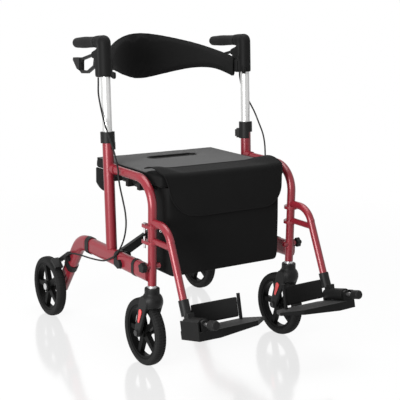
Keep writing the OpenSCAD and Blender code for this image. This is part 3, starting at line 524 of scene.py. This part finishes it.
def smoothRoute(points, steps):
    line = []
    for i in range(len(points) - 1):
        a, b = points[max(i - 1, 0)], points[i]
        c, d = points[i + 1], points[min(i + 2, len(points) - 1)]
        for k in range(steps):
            f = k / steps
            line.append(0.5 * (2 * b + (c - a) * f + (2 * a - 5 * b + 4 * c - d) * f * f
                + (3 * b - a - 3 * c + d) * f ** 3))
    return line + [points[-1]]


for side, sign in sides.items():
    line = smoothRoute([Vector((sign * x, y, z)) / 1000 for x, y, z in cableMake["route"]], cableMake["steps"])
    reach = sum((b - a).length for a, b in zip(line, line[1:]))
    tube = tubeMesh("cable_" + side, line, cableMake["radius"])
    cable = addPiece("cable_" + side, tube, cableSheath)
    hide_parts("brake_cable_" + side)
    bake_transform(cable)
print("brake cables", round(reach, 3), "m each")

# tyres with fine ribs across the tread; profile gives radius and half width in shares of the CAD box
tyreMake = {"steps": 216, "each": 3, "depth": 0.0013, "ribFrom": 0.933, "land": 0.14, "profile": (
    (0.800, -0.80), (0.815, -0.93), (0.845, -1.0), (0.900, -1.0), (0.945, -0.965), (0.975, -0.83), (0.992, -0.58),
    (0.999, -0.30), (1.0, -0.12), (1.0, 0.12), (0.999, 0.30), (0.992, 0.58), (0.975, 0.83), (0.945, 0.965),
    (0.900, 1.0), (0.845, 1.0), (0.815, 0.93), (0.800, 0.80))}


def ribbedTyre(node, make):
    low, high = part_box(node)
    middle, radius, half = (low + high) / 2, (high.z - low.z) / 2, (high.x - low.x) / 2
    bm = bmesh.new()
    line = [bm.verts.new((a * half, 0, r * radius)) for r, a in make["profile"]]
    edges = [bm.edges.new(pair) for pair in zip(line, line[1:] + line[:1])]
    bmesh.ops.spin(bm, geom=line + edges, cent=(0, 0, 0), axis=(1, 0, 0), angle=2 * pi, steps=make["steps"],
        use_merge=True)
    bmesh.ops.remove_doubles(bm, verts=bm.verts, dist=weld)
    bmesh.ops.recalc_face_normals(bm, faces=bm.faces)
    grooves = []
    for face in bm.faces:
        spot = face.calc_center_median()
        turn = int((atan2(spot.y, spot.z) / (2 * pi) + 1) * make["steps"]) % make["each"]
        if turn == 0 and Vector((spot.y, spot.z)).length > make["ribFrom"] * radius \
                and abs(spot.x) > make["land"] * half:
            grooves.append(face)
    grown = bmesh.ops.extrude_face_region(bm, geom=grooves)["geom"]
    for v in (g for g in grown if isinstance(g, bmesh.types.BMVert)):
        far = Vector((0, v.co.y, v.co.z))
        v.co -= far.normalized() * make["depth"]
    bmesh.ops.delete(bm, geom=grooves, context="FACES")
    bmesh.ops.translate(bm, verts=bm.verts, vec=middle)
    return meshFrom(bm, node + "_ribbed", 35)


for side in sides:
    for place in ("rear", "front"):
        node = f"{place}_tyre_{side}"
        tyre = addPiece(node + "_ribbed", ribbedTyre(node, tyreMake), tyreRubber)
        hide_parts(node)
        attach(tyre, f"{place}_wheel_{side}")
print("four ribbed tyres")

# grips and handles; the handle frame has s to the back and t up the leaning post
handleMake = {"foot": (0.255, 0.049, 0.286), "lean": 3.8, "top": 0.638, "voxel": 0.0018, "passes": 26, "around": 40,
    "grip": ((0.0424, 0.0), (0.0424, 0.0090), (0.0424, 0.0168), (0.0440, 0.0178), (0.0475, 0.0176), (0.0500, 0.0166),
        (0.0650, 0.0160), (0.0900, 0.0163), (0.1150, 0.0171), (0.1380, 0.0168), (0.1590, 0.0158), (0.1700, 0.0156),
        (0.1780, 0.0147), (0.1830, 0.0121), (0.1853, 0.0080), (0.1860, 0.0035), (0.1861, 0.0))}


def handleFrame(sign):
    x, y, z = handleMake["foot"]
    return Matrix.Translation((sign * x, y, z)) @ Matrix.Rotation(radians(-handleMake["lean"]), 4, "X")


def swollenGrip(side, sign):
    bm = bmesh.new()
    line = [bm.verts.new((r, s, 0)) for s, r in handleMake["grip"]]
    edges = [bm.edges.new(pair) for pair in zip(line, line[1:])]
    bmesh.ops.spin(bm, geom=line + edges, cent=(0, 0, 0), axis=(0, 1, 0), angle=2 * pi, steps=handleMake["around"],
        use_merge=True)
    bmesh.ops.transform(bm, matrix=handleFrame(sign) @ Matrix.Translation((0, 0, handleMake["top"])), verts=bm.verts)
    return meshFrom(bm, "grip_swell_" + side, 40)


# a moulding with soft corners, from a merged copy of its CAD node
def softMoulding(node, voxel, passes):
    bm = bmesh.new()
    bm.from_mesh(nodes[node].data)
    bmesh.ops.remove_doubles(bm, verts=bm.verts, dist=2 * weld)
    mesh = settled(meshFrom(bm, "rough"), voxel)
    bm = bmesh.new()
    bm.from_mesh(mesh)
    for step in range(passes):
        bmesh.ops.smooth_vert(bm, verts=bm.verts, factor=0.5, use_axis_x=True, use_axis_y=True, use_axis_z=True)
    return meshFrom(bm, node + "_soft")


for side, sign in sides.items():
    grip = addPiece("grip_swell_" + side, swollenGrip(side, sign), gripRubber)
    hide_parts("grip_" + side)
    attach(grip, "handle_" + side)
    shell = softMoulding("handle_body_" + side, handleMake["voxel"], handleMake["passes"])
    handle = addPiece("handle_shell_" + side, shell, handlePlastic)
    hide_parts("handle_body_" + side)
    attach(handle, "handle_" + side)
print("grips and handle shells")

# caster forks with a domed, filleted crown
forkMake = {"voxel": 0.0015, "passes": 8}
for side in sides:
    mesh = softMoulding("caster_fork_" + side, forkMake["voxel"], forkMake["passes"])
    fork = addPiece("fork_shell_" + side, mesh, blackPlastic)
    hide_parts("caster_fork_" + side)
    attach(fork, "caster_" + side)
print("caster forks")

# seat pad with a hand slot; steps give the inset in mm and the share of the thickness
seatMake = {"half": (0.222, 0.197), "midY": 0.021, "low": 0.527, "thick": 0.034, "corner": 40, "draw": 0.0015,
    "count": 160, "voxel": 0.004, "cap": 0.0014, "keep": 0.3, "swellFrom": 0.006, "swellOver": 0.012,
    "slotY": 0.117, "slotHalf": 0.085, "slotRound": 0.017, "slotTop": 0.97, "slotLip": 0.004,
    "slotStill": 0.08, "slotFrom": 0.014, "slotFade": 0.03, "crown": 0.02, "crownSteps": (0.2, 0.4, 0.6, 0.8, 0.93),
    "steps": ((6, 0.02), (2, 0.04), (0.5, 0.14), (0, 0.3), (0, 0.66), (0.8, 0.82), (2.5, 0.91), (7, 0.945),
        (36, 0.955))}
foldSquash = {"axis": (1, 0, 0), "anchor": (0, 0, 0), "keep": seatMake["keep"]}


# points round the slot, by distance from the middle of its left end
def slotRing(grow, z, count):
    long, r = seatMake["slotHalf"] - seatMake["slotRound"], seatMake["slotRound"] + grow
    quarter = pi * r / 2
    ends = ((quarter, 0), (quarter + 2 * long, 1), (3 * quarter + 2 * long, 2), (3 * quarter + 4 * long, 3))
    ring = []
    for k in range(count):
        d = 4 * (quarter + long) * k / count
        part = next((m for end, m in ends if d <= end), 4)
        if part == 0:
            x, y = long + r * cos(d / r), r * sin(d / r)
        elif part == 1:
            x, y = long - (d - quarter), r
        elif part == 2:
            a = pi / 2 + (d - quarter - 2 * long) / r
            x, y = -long + r * cos(a), r * sin(a)
        elif part == 3:
            x, y = -long + (d - 3 * quarter - 2 * long), -r
        else:
            a = -pi / 2 + (d - 3 * quarter - 4 * long) / r
            x, y = long + r * cos(a), r * sin(a)
        ring.append(Vector((x, seatMake["slotY"] + y, z)))
    return ring


def seatPad(make):
    halfW, halfD = make["half"]
    count, low, thick = make["count"], make["low"], make["thick"]
    rings = []
    for inset, up in make["steps"]:
        rings.append(pillowRing(halfW - inset / 1000, halfD - inset / 1000, make["midY"], low + up * thick,
            make["corner"], make["draw"], count))
    edge = rings[-1]
    for f in make["crownSteps"]:
        z = low + thick * (make["steps"][-1][1] + make["crown"] * sin(f * pi / 2))
        rings.append([Vector((*a.lerp(b, f).xy, z)) for a, b in zip(edge, slotRing(make["slotLip"], z, count))])
    top = low + thick * make["slotTop"]
    wall = ((0.0028, top), (0.001, top - 0.003), (0.0005, low + 0.004), (0.002, low + 0.0008))  # growth and height
    rings += [slotRing(grow, z, count) for grow, z in wall]
    pad = settled(meshFrom(loftLoops(rings, joined=True), "seat_rough"), make["voxel"])

    # the pad swells on top, and not round its slot
    def swellShare(place):
        nearSlot = max(abs(place.x) - make["slotStill"], 0) ** 2 + (place.y - make["slotY"]) ** 2
        rise = rampUp(place.z - low, make["swellFrom"], make["swellOver"])
        return rise * rampUp(sqrt(nearSlot), make["slotFrom"], make["slotFade"])
    return puffed(pad, make["cap"], swellShare)


seat = addPiece("seat_pad", seatPad(seatMake), seatCloth)
seatSkin = surfaceOf(seat.data)

# piping round the pad, and a binding round its slot
sewMake = {"edgeHalf": (0.2205, 0.1955), "edgeUp": 0.030, "edgePoints": 320, "piping": 0.0019,
    "slotGrow": 0.003, "slotZ": 0.561, "slotPoints": 120, "binding": 0.0024}
edgeRing = pillowRing(*sewMake["edgeHalf"], seatMake["midY"], seatMake["low"] + sewMake["edgeUp"],
    seatMake["corner"], seatMake["draw"], sewMake["edgePoints"])
edgeLine = [seatSkin.find_nearest(p)[0] for p in edgeRing]
edgeTube = tubeMesh("seat_piping", edgeLine, sewMake["piping"], True)
seatPiping = addPiece("seat_piping", edgeTube, bagCloth)
slotEdge = slotRing(sewMake["slotGrow"], sewMake["slotZ"], sewMake["slotPoints"])
slotLine = [Vector((*p.xy, seatSkin.find_nearest(p)[0].z)) for p in slotEdge]
slotTube = tubeMesh("slot_binding", slotLine, sewMake["binding"], True)
slotBinding = addPiece("slot_binding", slotTube, blackPlastic)

# half-round tab that hangs from a rear corner of the seat
tabMake = {"middle": (0.2124, 0.165, 0.535), "radius": 0.0755, "front": 0.1656, "rear": 0.2164, "top": 0.5265,
    "thick": 0.0082, "round": 0.0028}


def seatTab(side, sign):
    x, y, z = tabMake["middle"]
    bm = bmesh.new()
    bmesh.ops.create_circle(bm, segments=72, radius=tabMake["radius"], cap_ends=True,
        matrix=Matrix.Translation((sign * x, y, z)) @ Matrix.Rotation(pi / 2, 4, "Y"))
    cutAway(bm, (((0, tabMake["front"], 0), (0, -1, 0)), ((0, tabMake["rear"], 0), (0, 1, 0)),
        ((0, 0, tabMake["top"]), (0, 0, 1))))
    grown = bmesh.ops.extrude_face_region(bm, geom=bm.faces[:])["geom"]
    outer = [g for g in grown if isinstance(g, bmesh.types.BMVert)]
    bmesh.ops.translate(bm, verts=outer, vec=(sign * tabMake["thick"], 0, 0))
    rim = [e for e in bm.edges if e.is_manifold and e.calc_face_angle() > radians(60)]
    bmesh.ops.bevel(bm, geom=rim, offset=tabMake["round"], segments=3, profile=0.5, affect="EDGES", material=-1)
    return meshFrom(bm, "seat_tab_" + side, 50)


# black cover drawn over the front of the pad, down to its lower edge
coverMake = {"start": -0.088, "low": 0.5312, "rise": 0.0016, "thick": 0.0012}


def frontCover(make):
    bm = bmesh.new()
    bm.from_mesh(seat.data)
    cutAway(bm, (((0, make["start"], 0), (0, 1, 0)), ((0, 0, make["low"]), (0, 0, -1))))
    bm.normal_update()
    for v in bm.verts:
        v.co += v.normal * make["rise"]
    return meshFrom(bm, "seat_cover")


cover = addPiece("seat_cover", frontCover(coverMake), bagCloth)
walled(cover, coverMake["thick"], -1)
seatPieces = [seat, seatPiping, slotBinding, cover]
for side, sign in sides.items():
    seatPieces.append(addPiece("seat_tab_" + side, seatTab(side, sign), bagCloth))
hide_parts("seat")
for piece in seatPieces:
    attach(piece, "seat")
    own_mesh(piece)
print("seat pad, piping, slot, cover and tabs")

# bag: rings from the middle of its bottom up to its open top; shape gives the share of the height, then half the
# width and the front's bulge in mm, and folds give waves across, waves down, a start and a weight
bagMake = {"low": 0.2675, "top": 0.5262, "back": -0.0825, "front": -0.1825, "count": 96, "levels": 26,
    "corner": 16, "draw": 0.002, "wall": 0.0018, "keep": 0.235, "bottom": (0.03, 0.3, 0.6, 0.85, 0.96),
    "shape": ((0.0, 193, -8), (0.03, 197, -9.4), (0.12, 199.5, -9.6), (0.5, 202, -6.4), (0.85, 202.5, -1.4),
        (1.0, 201.5, 0)),
    "fold": 0.0018, "foldOut": 1.4, "hollow": 0.002, "drawIn": 0.0025, "folds": ((9, 5, 3.1, 1), (22, 9, 7.7, 0.5))}
bagHigh = bagMake["top"] - bagMake["low"]


def bagLevel(share):
    shape = bagMake["shape"]
    for (h0, w0, f0), (h1, w1, f1) in zip(shape, shape[1:]):
        if share <= h1:
            f = (share - h0) / (h1 - h0)
            return (w0 + (w1 - w0) * f) / 1000, (f0 + (f1 - f0) * f) / 1000
    return shape[-1][1] / 1000, shape[-1][2] / 1000


# the front hangs in soft folds, and the sides draw in a little
def bagRing(share, shrink=1.0):
    make = bagMake
    half, bulge = bagLevel(share)
    front = make["front"] + bulge
    mid, depth = (front + make["back"]) / 2, (make["back"] - front) / 2
    ring = pillowRing(half * shrink, depth * shrink, mid, make["low"] + share * bagHigh, make["corner"],
        make["draw"], make["count"])
    sag = 4 * share * (1 - share)
    amount = make["fold"] * sag * shrink
    for p in ring:
        soft = sum(weight * noise.noise(Vector((p.x * across, p.z * down, start)))
            for across, down, start, weight in make["folds"])
        if p.y < mid:
            p.y -= amount * soft * make["foldOut"] - make["hollow"] * sag * (1 - abs(p.x) / half)
        p.x -= (1 if p.x > 0 else -1) * make["drawIn"] * sag * (abs(p.x) / half) ** 6 * (1 + soft)
    return ring


rings = [bagRing(0, s) for s in bagMake["bottom"]]
rings += [bagRing(k / bagMake["levels"]) for k in range(bagMake["levels"] + 1)]
bag = addPiece("bag_shell", meshFrom(loftLoops(rings), "bag_shell"), bagCloth)
bagSkin = surfaceOf(bag.data)
smoother(walled(bag, bagMake["wall"], -1))

# flap that lies on the seat's front, rolls over its edge and hangs before the bag; half and corners are given for
# the right side (-1) and the left (1)
flapMake = {"start": -0.088, "edge": -0.1752, "height": 0.5648, "roll": 0.0122, "low": 0.438,
    "half": {-1: 0.2215, 1: 0.2035}, "lowHalf": 0.2015, "corners": {-1: 0.104, 1: 0.062},
    "narrowFrom": -0.012, "narrowOver": 0.06, "castFrom": -0.4, "castUnder": 0.002, "clear": 0.0034, "inset": 0.014,
    "kick": 0.003, "belly": 0.0025, "puff": 0.0145, "puffFrom": 0.13, "puffOver": 0.07, "puffFade": 0.05,
    "puffWave": (0.15, 0.75), "across": 56, "along": 56, "thick": 0.0016, "bind": 0.0019}


def flapPoint(u, s):
    make = flapMake
    sign = 1 if u > 0 else -1
    top, roll = make["start"] - make["edge"], make["roll"]
    bend, hang = roll * pi / 2, make["height"] - roll - make["low"]
    along = s * (top + bend + hang)
    y, z = make["start"] - min(along, top), make["height"]
    if along > top:
        turn = min((along - top) / roll, pi / 2)
        y -= roll * sin(turn)
        z -= roll * (1 - cos(turn)) + max(along - top - bend, 0)
    corner, half = make["corners"][sign], make["half"][sign]
    half += (make["lowHalf"] - half) * eased(rampUp(along - top, make["narrowFrom"], make["narrowOver"]))
    if z < make["low"] + corner:
        half += sqrt(max(corner ** 2 - (make["low"] + corner - z) ** 2, 0)) - corner
    x = u * half
    if along > top + bend:  # clear of the bag, with a hem that kicks out
        sure = bagLevel(rampUp(z, bagMake["low"], bagHigh))[0]
        reach = min(abs(x), sure - make["inset"]) * sign
        start = Vector((reach, make["castFrom"], min(z, bagMake["top"] - make["castUnder"])))
        hit = bagSkin.ray_cast(start, Vector((0, 1, 0)))[0]
        down = (along - top - bend) / hang
        y = min(y, hit.y - make["clear"] if hit else y) - make["kick"] * down ** 4
        y -= make["belly"] * sin(down * pi) * (1 - u * u)
    side = eased(rampUp(abs(x), make["puffFrom"], make["puffOver"]))
    fade = 1 - rampUp(along - top, 0, make["puffFade"])
    first, over = make["puffWave"]
    z += make["puff"] * side * sin(pi * (first + over * min(along / top, 1))) * fade
    return Vector((x, y, z))


def flapMesh(make):
    bm = bmesh.new()
    bmesh.ops.create_grid(bm, x_segments=make["across"], y_segments=make["along"], size=1)
    for v in bm.verts:
        v.co = flapPoint(v.co.x, (1 - v.co.y) / 2)
    return meshFrom(bm, "bag_flap")


flap = addPiece("bag_flap", flapMesh(flapMake), bagCloth)
smoother(walled(flap, flapMake["thick"], 0))
# binding down the right side, along the hem, up the left side and back along the start
edgeRun = [flapPoint(-1, k / 60) for k in range(60)] + [flapPoint(-1 + k / 24, 1) for k in range(49)]
edgeRun += [flapPoint(1, 1 - k / 60) for k in range(1, 61)] + [flapPoint(1 - k / 30, 0) for k in range(1, 60)]
bindTube = tubeMesh("flap_binding", edgeRun, flapMake["bind"], True, 2)
flapEdge = addPiece("flap_binding", bindTube, bagCloth)
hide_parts("bag")
bagSquash = {**foldSquash, "keep": bagMake["keep"]}
for piece, fold in ((bag, bagSquash), (flap, foldSquash), (flapEdge, foldSquash)):
    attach(piece, "seat")
    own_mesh(piece)
print("bag and flap")

# backrest: a bowed band between the handles, tallest in its middle
backMake = {"half": 0.231, "y": 0.112, "bow": 0.205, "thick": 0.0215, "behind": 0.003, "rim": 0.002,
    "stations": 60, "round": 24, "voxel": 0.0048, "cap": 0.0032, "still": 0.225, "stillFade": 0.03, "keep": 0.31,
    "top": 0.9405, "topFall": 0.0745, "topWave": 0.004, "low": 0.789, "lowRise": 0.0195, "lowEnd": 0.006,
    "piping": 0.002, "pipeSteps": 80, "pipeReach": 0.985}


# middle, outward direction and half height at u, which runs from -1 to 1; slope is how y changes along x
def backStation(u):
    make = backMake
    y = make["y"] + make["bow"] * (1 - 1.15 * u * u + 0.15 * u ** 4)
    slope = make["bow"] * (0.6 * u ** 3 - 2.3 * u) / make["half"]
    top = make["top"] - make["topFall"] * (0.69 * u * u + 0.31 * u ** 4) - make["topWave"] * sin(pi * u) ** 2
    low = make["low"] + make["lowRise"] * (6.5 * u * u - 5.5 * u ** 4) - make["lowEnd"] * u ** 8
    return Vector((u * make["half"], y, (top + low) / 2)), Vector((-slope, 1, 0)).normalized(), (top - low) / 2


def backRing(u):
    mid, out, half = backStation(u)
    ring = []
    for k in range(backMake["round"]):
        a = 2 * pi * k / backMake["round"]
        depth = backMake["behind"] + backMake["thick"] / 2 * rounded(cos(a), 0.6)
        ring.append(mid + out * depth + Vector((0, 0, (half - backMake["rim"]) * rounded(sin(a), 0.45))))
    return ring


rings = [backRing(2 * k / backMake["stations"] - 1) for k in range(backMake["stations"] + 1)]
pad = settled(meshFrom(loftLoops(rings, capped=True), "back_rough"), backMake["voxel"])
pad = puffed(pad, backMake["cap"], lambda p: rampUp(-abs(p.x), -backMake["still"], backMake["stillFade"]))
back = smoother(addPiece("backrest_pad", pad, backCloth))
backSkin = surfaceOf(back.data)
backPieces = [back]
for name, up in (("top", 1), ("low", -1)):
    line = []
    for k in range(backMake["pipeSteps"] + 1):
        mid, out, half = backStation((2 * k / backMake["pipeSteps"] - 1) * backMake["pipeReach"])
        line.append(backSkin.find_nearest(mid + Vector((0, 0, up * (half + backMake["rim"]))))[0])
    tube = tubeMesh("piping", line, backMake["piping"])
    backPieces.append(addPiece("backrest_piping_" + name, tube, backCloth))
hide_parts("backrest")
for piece in backPieces:
    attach(piece, "handle_right")
    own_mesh(piece)
print("backrest pad")

# heel straps of wide webbing, from the heel post to the pivot leg
strapMake = {"from": (-0.1630, 0.030), "to": (-0.017, 0.042), "bow": 0.016, "low": -0.010, "high": 0.046,
    "lean": 0.003, "sag": 0.002, "thick": 0.0022, "along": 28, "across": 6}


def plateFrame(sign):
    x, y, z = plateMake["pivot"]
    return Matrix.Translation((sign * x, y, z)) @ Matrix.Rotation(radians(-plateMake["tilt"]), 4, "X")


def heelStrap(side, sign):
    bm = bmesh.new()
    bmesh.ops.create_grid(bm, x_segments=strapMake["along"], y_segments=strapMake["across"], size=1)
    (x0, y0), (x1, y1) = strapMake["from"], strapMake["to"]
    low, high = strapMake["low"], strapMake["high"]
    for v in bm.verts:
        f, h = (v.co.x + 1) / 2, (v.co.y + 1) / 2
        bow = strapMake["bow"] * 4 * f * (1 - f)
        lean = strapMake["lean"] * sin(pi * f) * (h - 0.5)
        v.co = plateFrame(sign) @ Vector((sign * (x0 + (x1 - x0) * f), y0 + (y1 - y0) * f + bow + lean,
            low + (high - low) * h - strapMake["sag"] * sin(pi * f)))
    return meshFrom(bm, "heel_web_" + side)


for side, sign in sides.items():
    strap = addPiece("heel_web_" + side, heelStrap(side, sign), strapWeb)
    smoother(walled(strap, strapMake["thick"], 0))
    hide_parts("heel_strap_" + side)
    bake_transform(strap)
print("heel straps")

# short bolts through the hanger's rings, each from, to and the foot of its nut, and an eyelet in each side of the bag
boltMake = {"place": (0.2627, -0.1574), "radius": 0.0034, "nut": 0.0052, "nutHigh": 0.0045,
    "bolts": ((0.4005, 0.4255, 0.4255), (0.3565, 0.3905, 0.3655))}
eyeletMake = {"castFrom": (0.4, -0.140, 0.395), "radius": 0.0046, "out": 0.0008, "wire": 0.0013, "points": 24}


def ringBolts(side, sign):
    bm = bmesh.new()
    x, y = boltMake["place"]
    for low, high, nut in boltMake["bolts"]:
        shank, head = (low, high, boltMake["radius"], 20), (nut, nut + boltMake["nutHigh"], boltMake["nut"], 6)
        for z0, z1, r, around in (shank, head):
            bmesh.ops.create_cone(bm, cap_ends=True, segments=around, radius1=r, radius2=r, depth=z1 - z0,
                matrix=Matrix.Translation((sign * x, y, (z0 + z1) / 2)))
    return meshFrom(bm, "ring_bolts_" + side, 35)


def bagEyelet(side, sign):
    x, y, z = eyeletMake["castFrom"]
    r, count = eyeletMake["radius"], eyeletMake["points"]
    hit = bagSkin.ray_cast(Vector((sign * x, y, z)), Vector((-sign, 0, 0)))[0]
    ring = []
    for k in range(count):
        a = 2 * pi * k / count
        ring.append(hit + Vector((sign * eyeletMake["out"], r * cos(a), r * sin(a))))
    return tubeMesh("bag_eyelet_" + side, ring, eyeletMake["wire"], True)


for side, sign in sides.items():
    bolts = addPiece("ring_bolts_" + side, ringBolts(side, sign), boltSteel)
    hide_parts("hanger_pin_" + side)
    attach(bolts, "hanger_" + side)
    eyelet = addPiece("bag_eyelet_" + side, bagEyelet(side, sign), boltSteel)
    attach(eyelet, "seat")
    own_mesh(eyelet)
print("ring bolts and eyelets")

# white studio: floor, backdrop and lamps, each with its place, size and power
studio = {"key": ((-2.7, -1.15, 1.05), 1.5, 115), "top": ((0.0, 0.1, 3.3), 2.4, 82),
    "fill": ((1.9, -2.8, 1.5), 2.2, 6), "aim": (0, 0, 0.45), "ambient": 0.14, "bounce": 0.45, "floorHalf": 30,
    "floorTone": 0.92, "gloss": 0.72, "glossRough": 0.12, "plainShare": 0.76, "fadeFrom": 0.9, "fadeOver": 1.5}
seenRays = ("Is Camera Ray", "Is Glossy Ray", "Is Transmission Ray")


# seen directly the floor is white, with the shadow and a soft reflection; other rays meet a plain grey
def studioFloor():
    f = Finish("studioFloor")
    lit = f.node("BsdfDiffuse", {}, {"Color": (*(studio["floorTone"],) * 3, 1)})
    shine = f.node("BsdfGlossy", {}, {"Color": (1, 1, 1, 1), "Roughness": studio["glossRough"]})
    both = f.node("MixShader", {}, {0: studio["gloss"], 1: lit, 2: shine})
    white = f.node("Emission", {}, {"Color": (1, 1, 1, 1), "Strength": 1.0})
    x, y = f.parts(f.place)[:2]
    far = ((x * x + y * y) ** 0.5 - studio["fadeFrom"]) / studio["fadeOver"]
    plain = far.kept() * (1 - studio["plainShare"]) + studio["plainShare"]
    look = f.node("MixShader", {}, {0: plain, 1: both, 2: white})
    rays = [f.node("LightPath", out=name) for name in seenRays]
    seen = (rays[0] + rays[1] + rays[2]).kept()
    bounce = f.node("BsdfDiffuse", {}, {"Color": (*(studio["bounce"],) * 3, 1)})
    return f.surface(f.node("MixShader", {}, {0: seen, 1: bounce, 2: look}))


def studioWorld():
    world = bpy.data.worlds.new("studioWorld")
    scene.world = world
    world.use_nodes = True
    tree = world.node_tree
    tree.nodes.clear()
    path, sky, out = [tree.nodes.new("ShaderNode" + kind) for kind in ("LightPath", "Background", "OutputWorld")]
    rays = [Value(tree, path.outputs[name]) for name in seenRays]
    seen = (rays[0] + rays[1] + rays[2]).kept()
    plug(tree, sky.inputs["Strength"], seen * (1 - studio["ambient"]) + studio["ambient"])
    sky.inputs["Color"].default_value = (1, 1, 1, 1)
    tree.links.new(sky.outputs[0], out.inputs["Surface"])


def softLamp(name, place, size, power):
    lamp = bpy.data.lights.new(name, "AREA")
    lamp.size, lamp.energy = size, power
    holder = bpy.data.objects.new(name, lamp)
    scene.collection.objects.link(holder)
    holder.location = place
    holder.rotation_euler = (Vector(studio["aim"]) - Vector(place)).to_track_quat("-Z", "Y").to_euler()


bm = bmesh.new()
bmesh.ops.create_grid(bm, x_segments=2, y_segments=2, size=studio["floorHalf"])
floor = addPiece("studio_floor", meshFrom(bm, "studio_floor"), studioFloor())
studioWorld()
for name in ("key", "top", "fill"):
    softLamp(name + "Lamp", *studio[name])
scene.view_settings.view_transform = "Standard"
print("studio set")
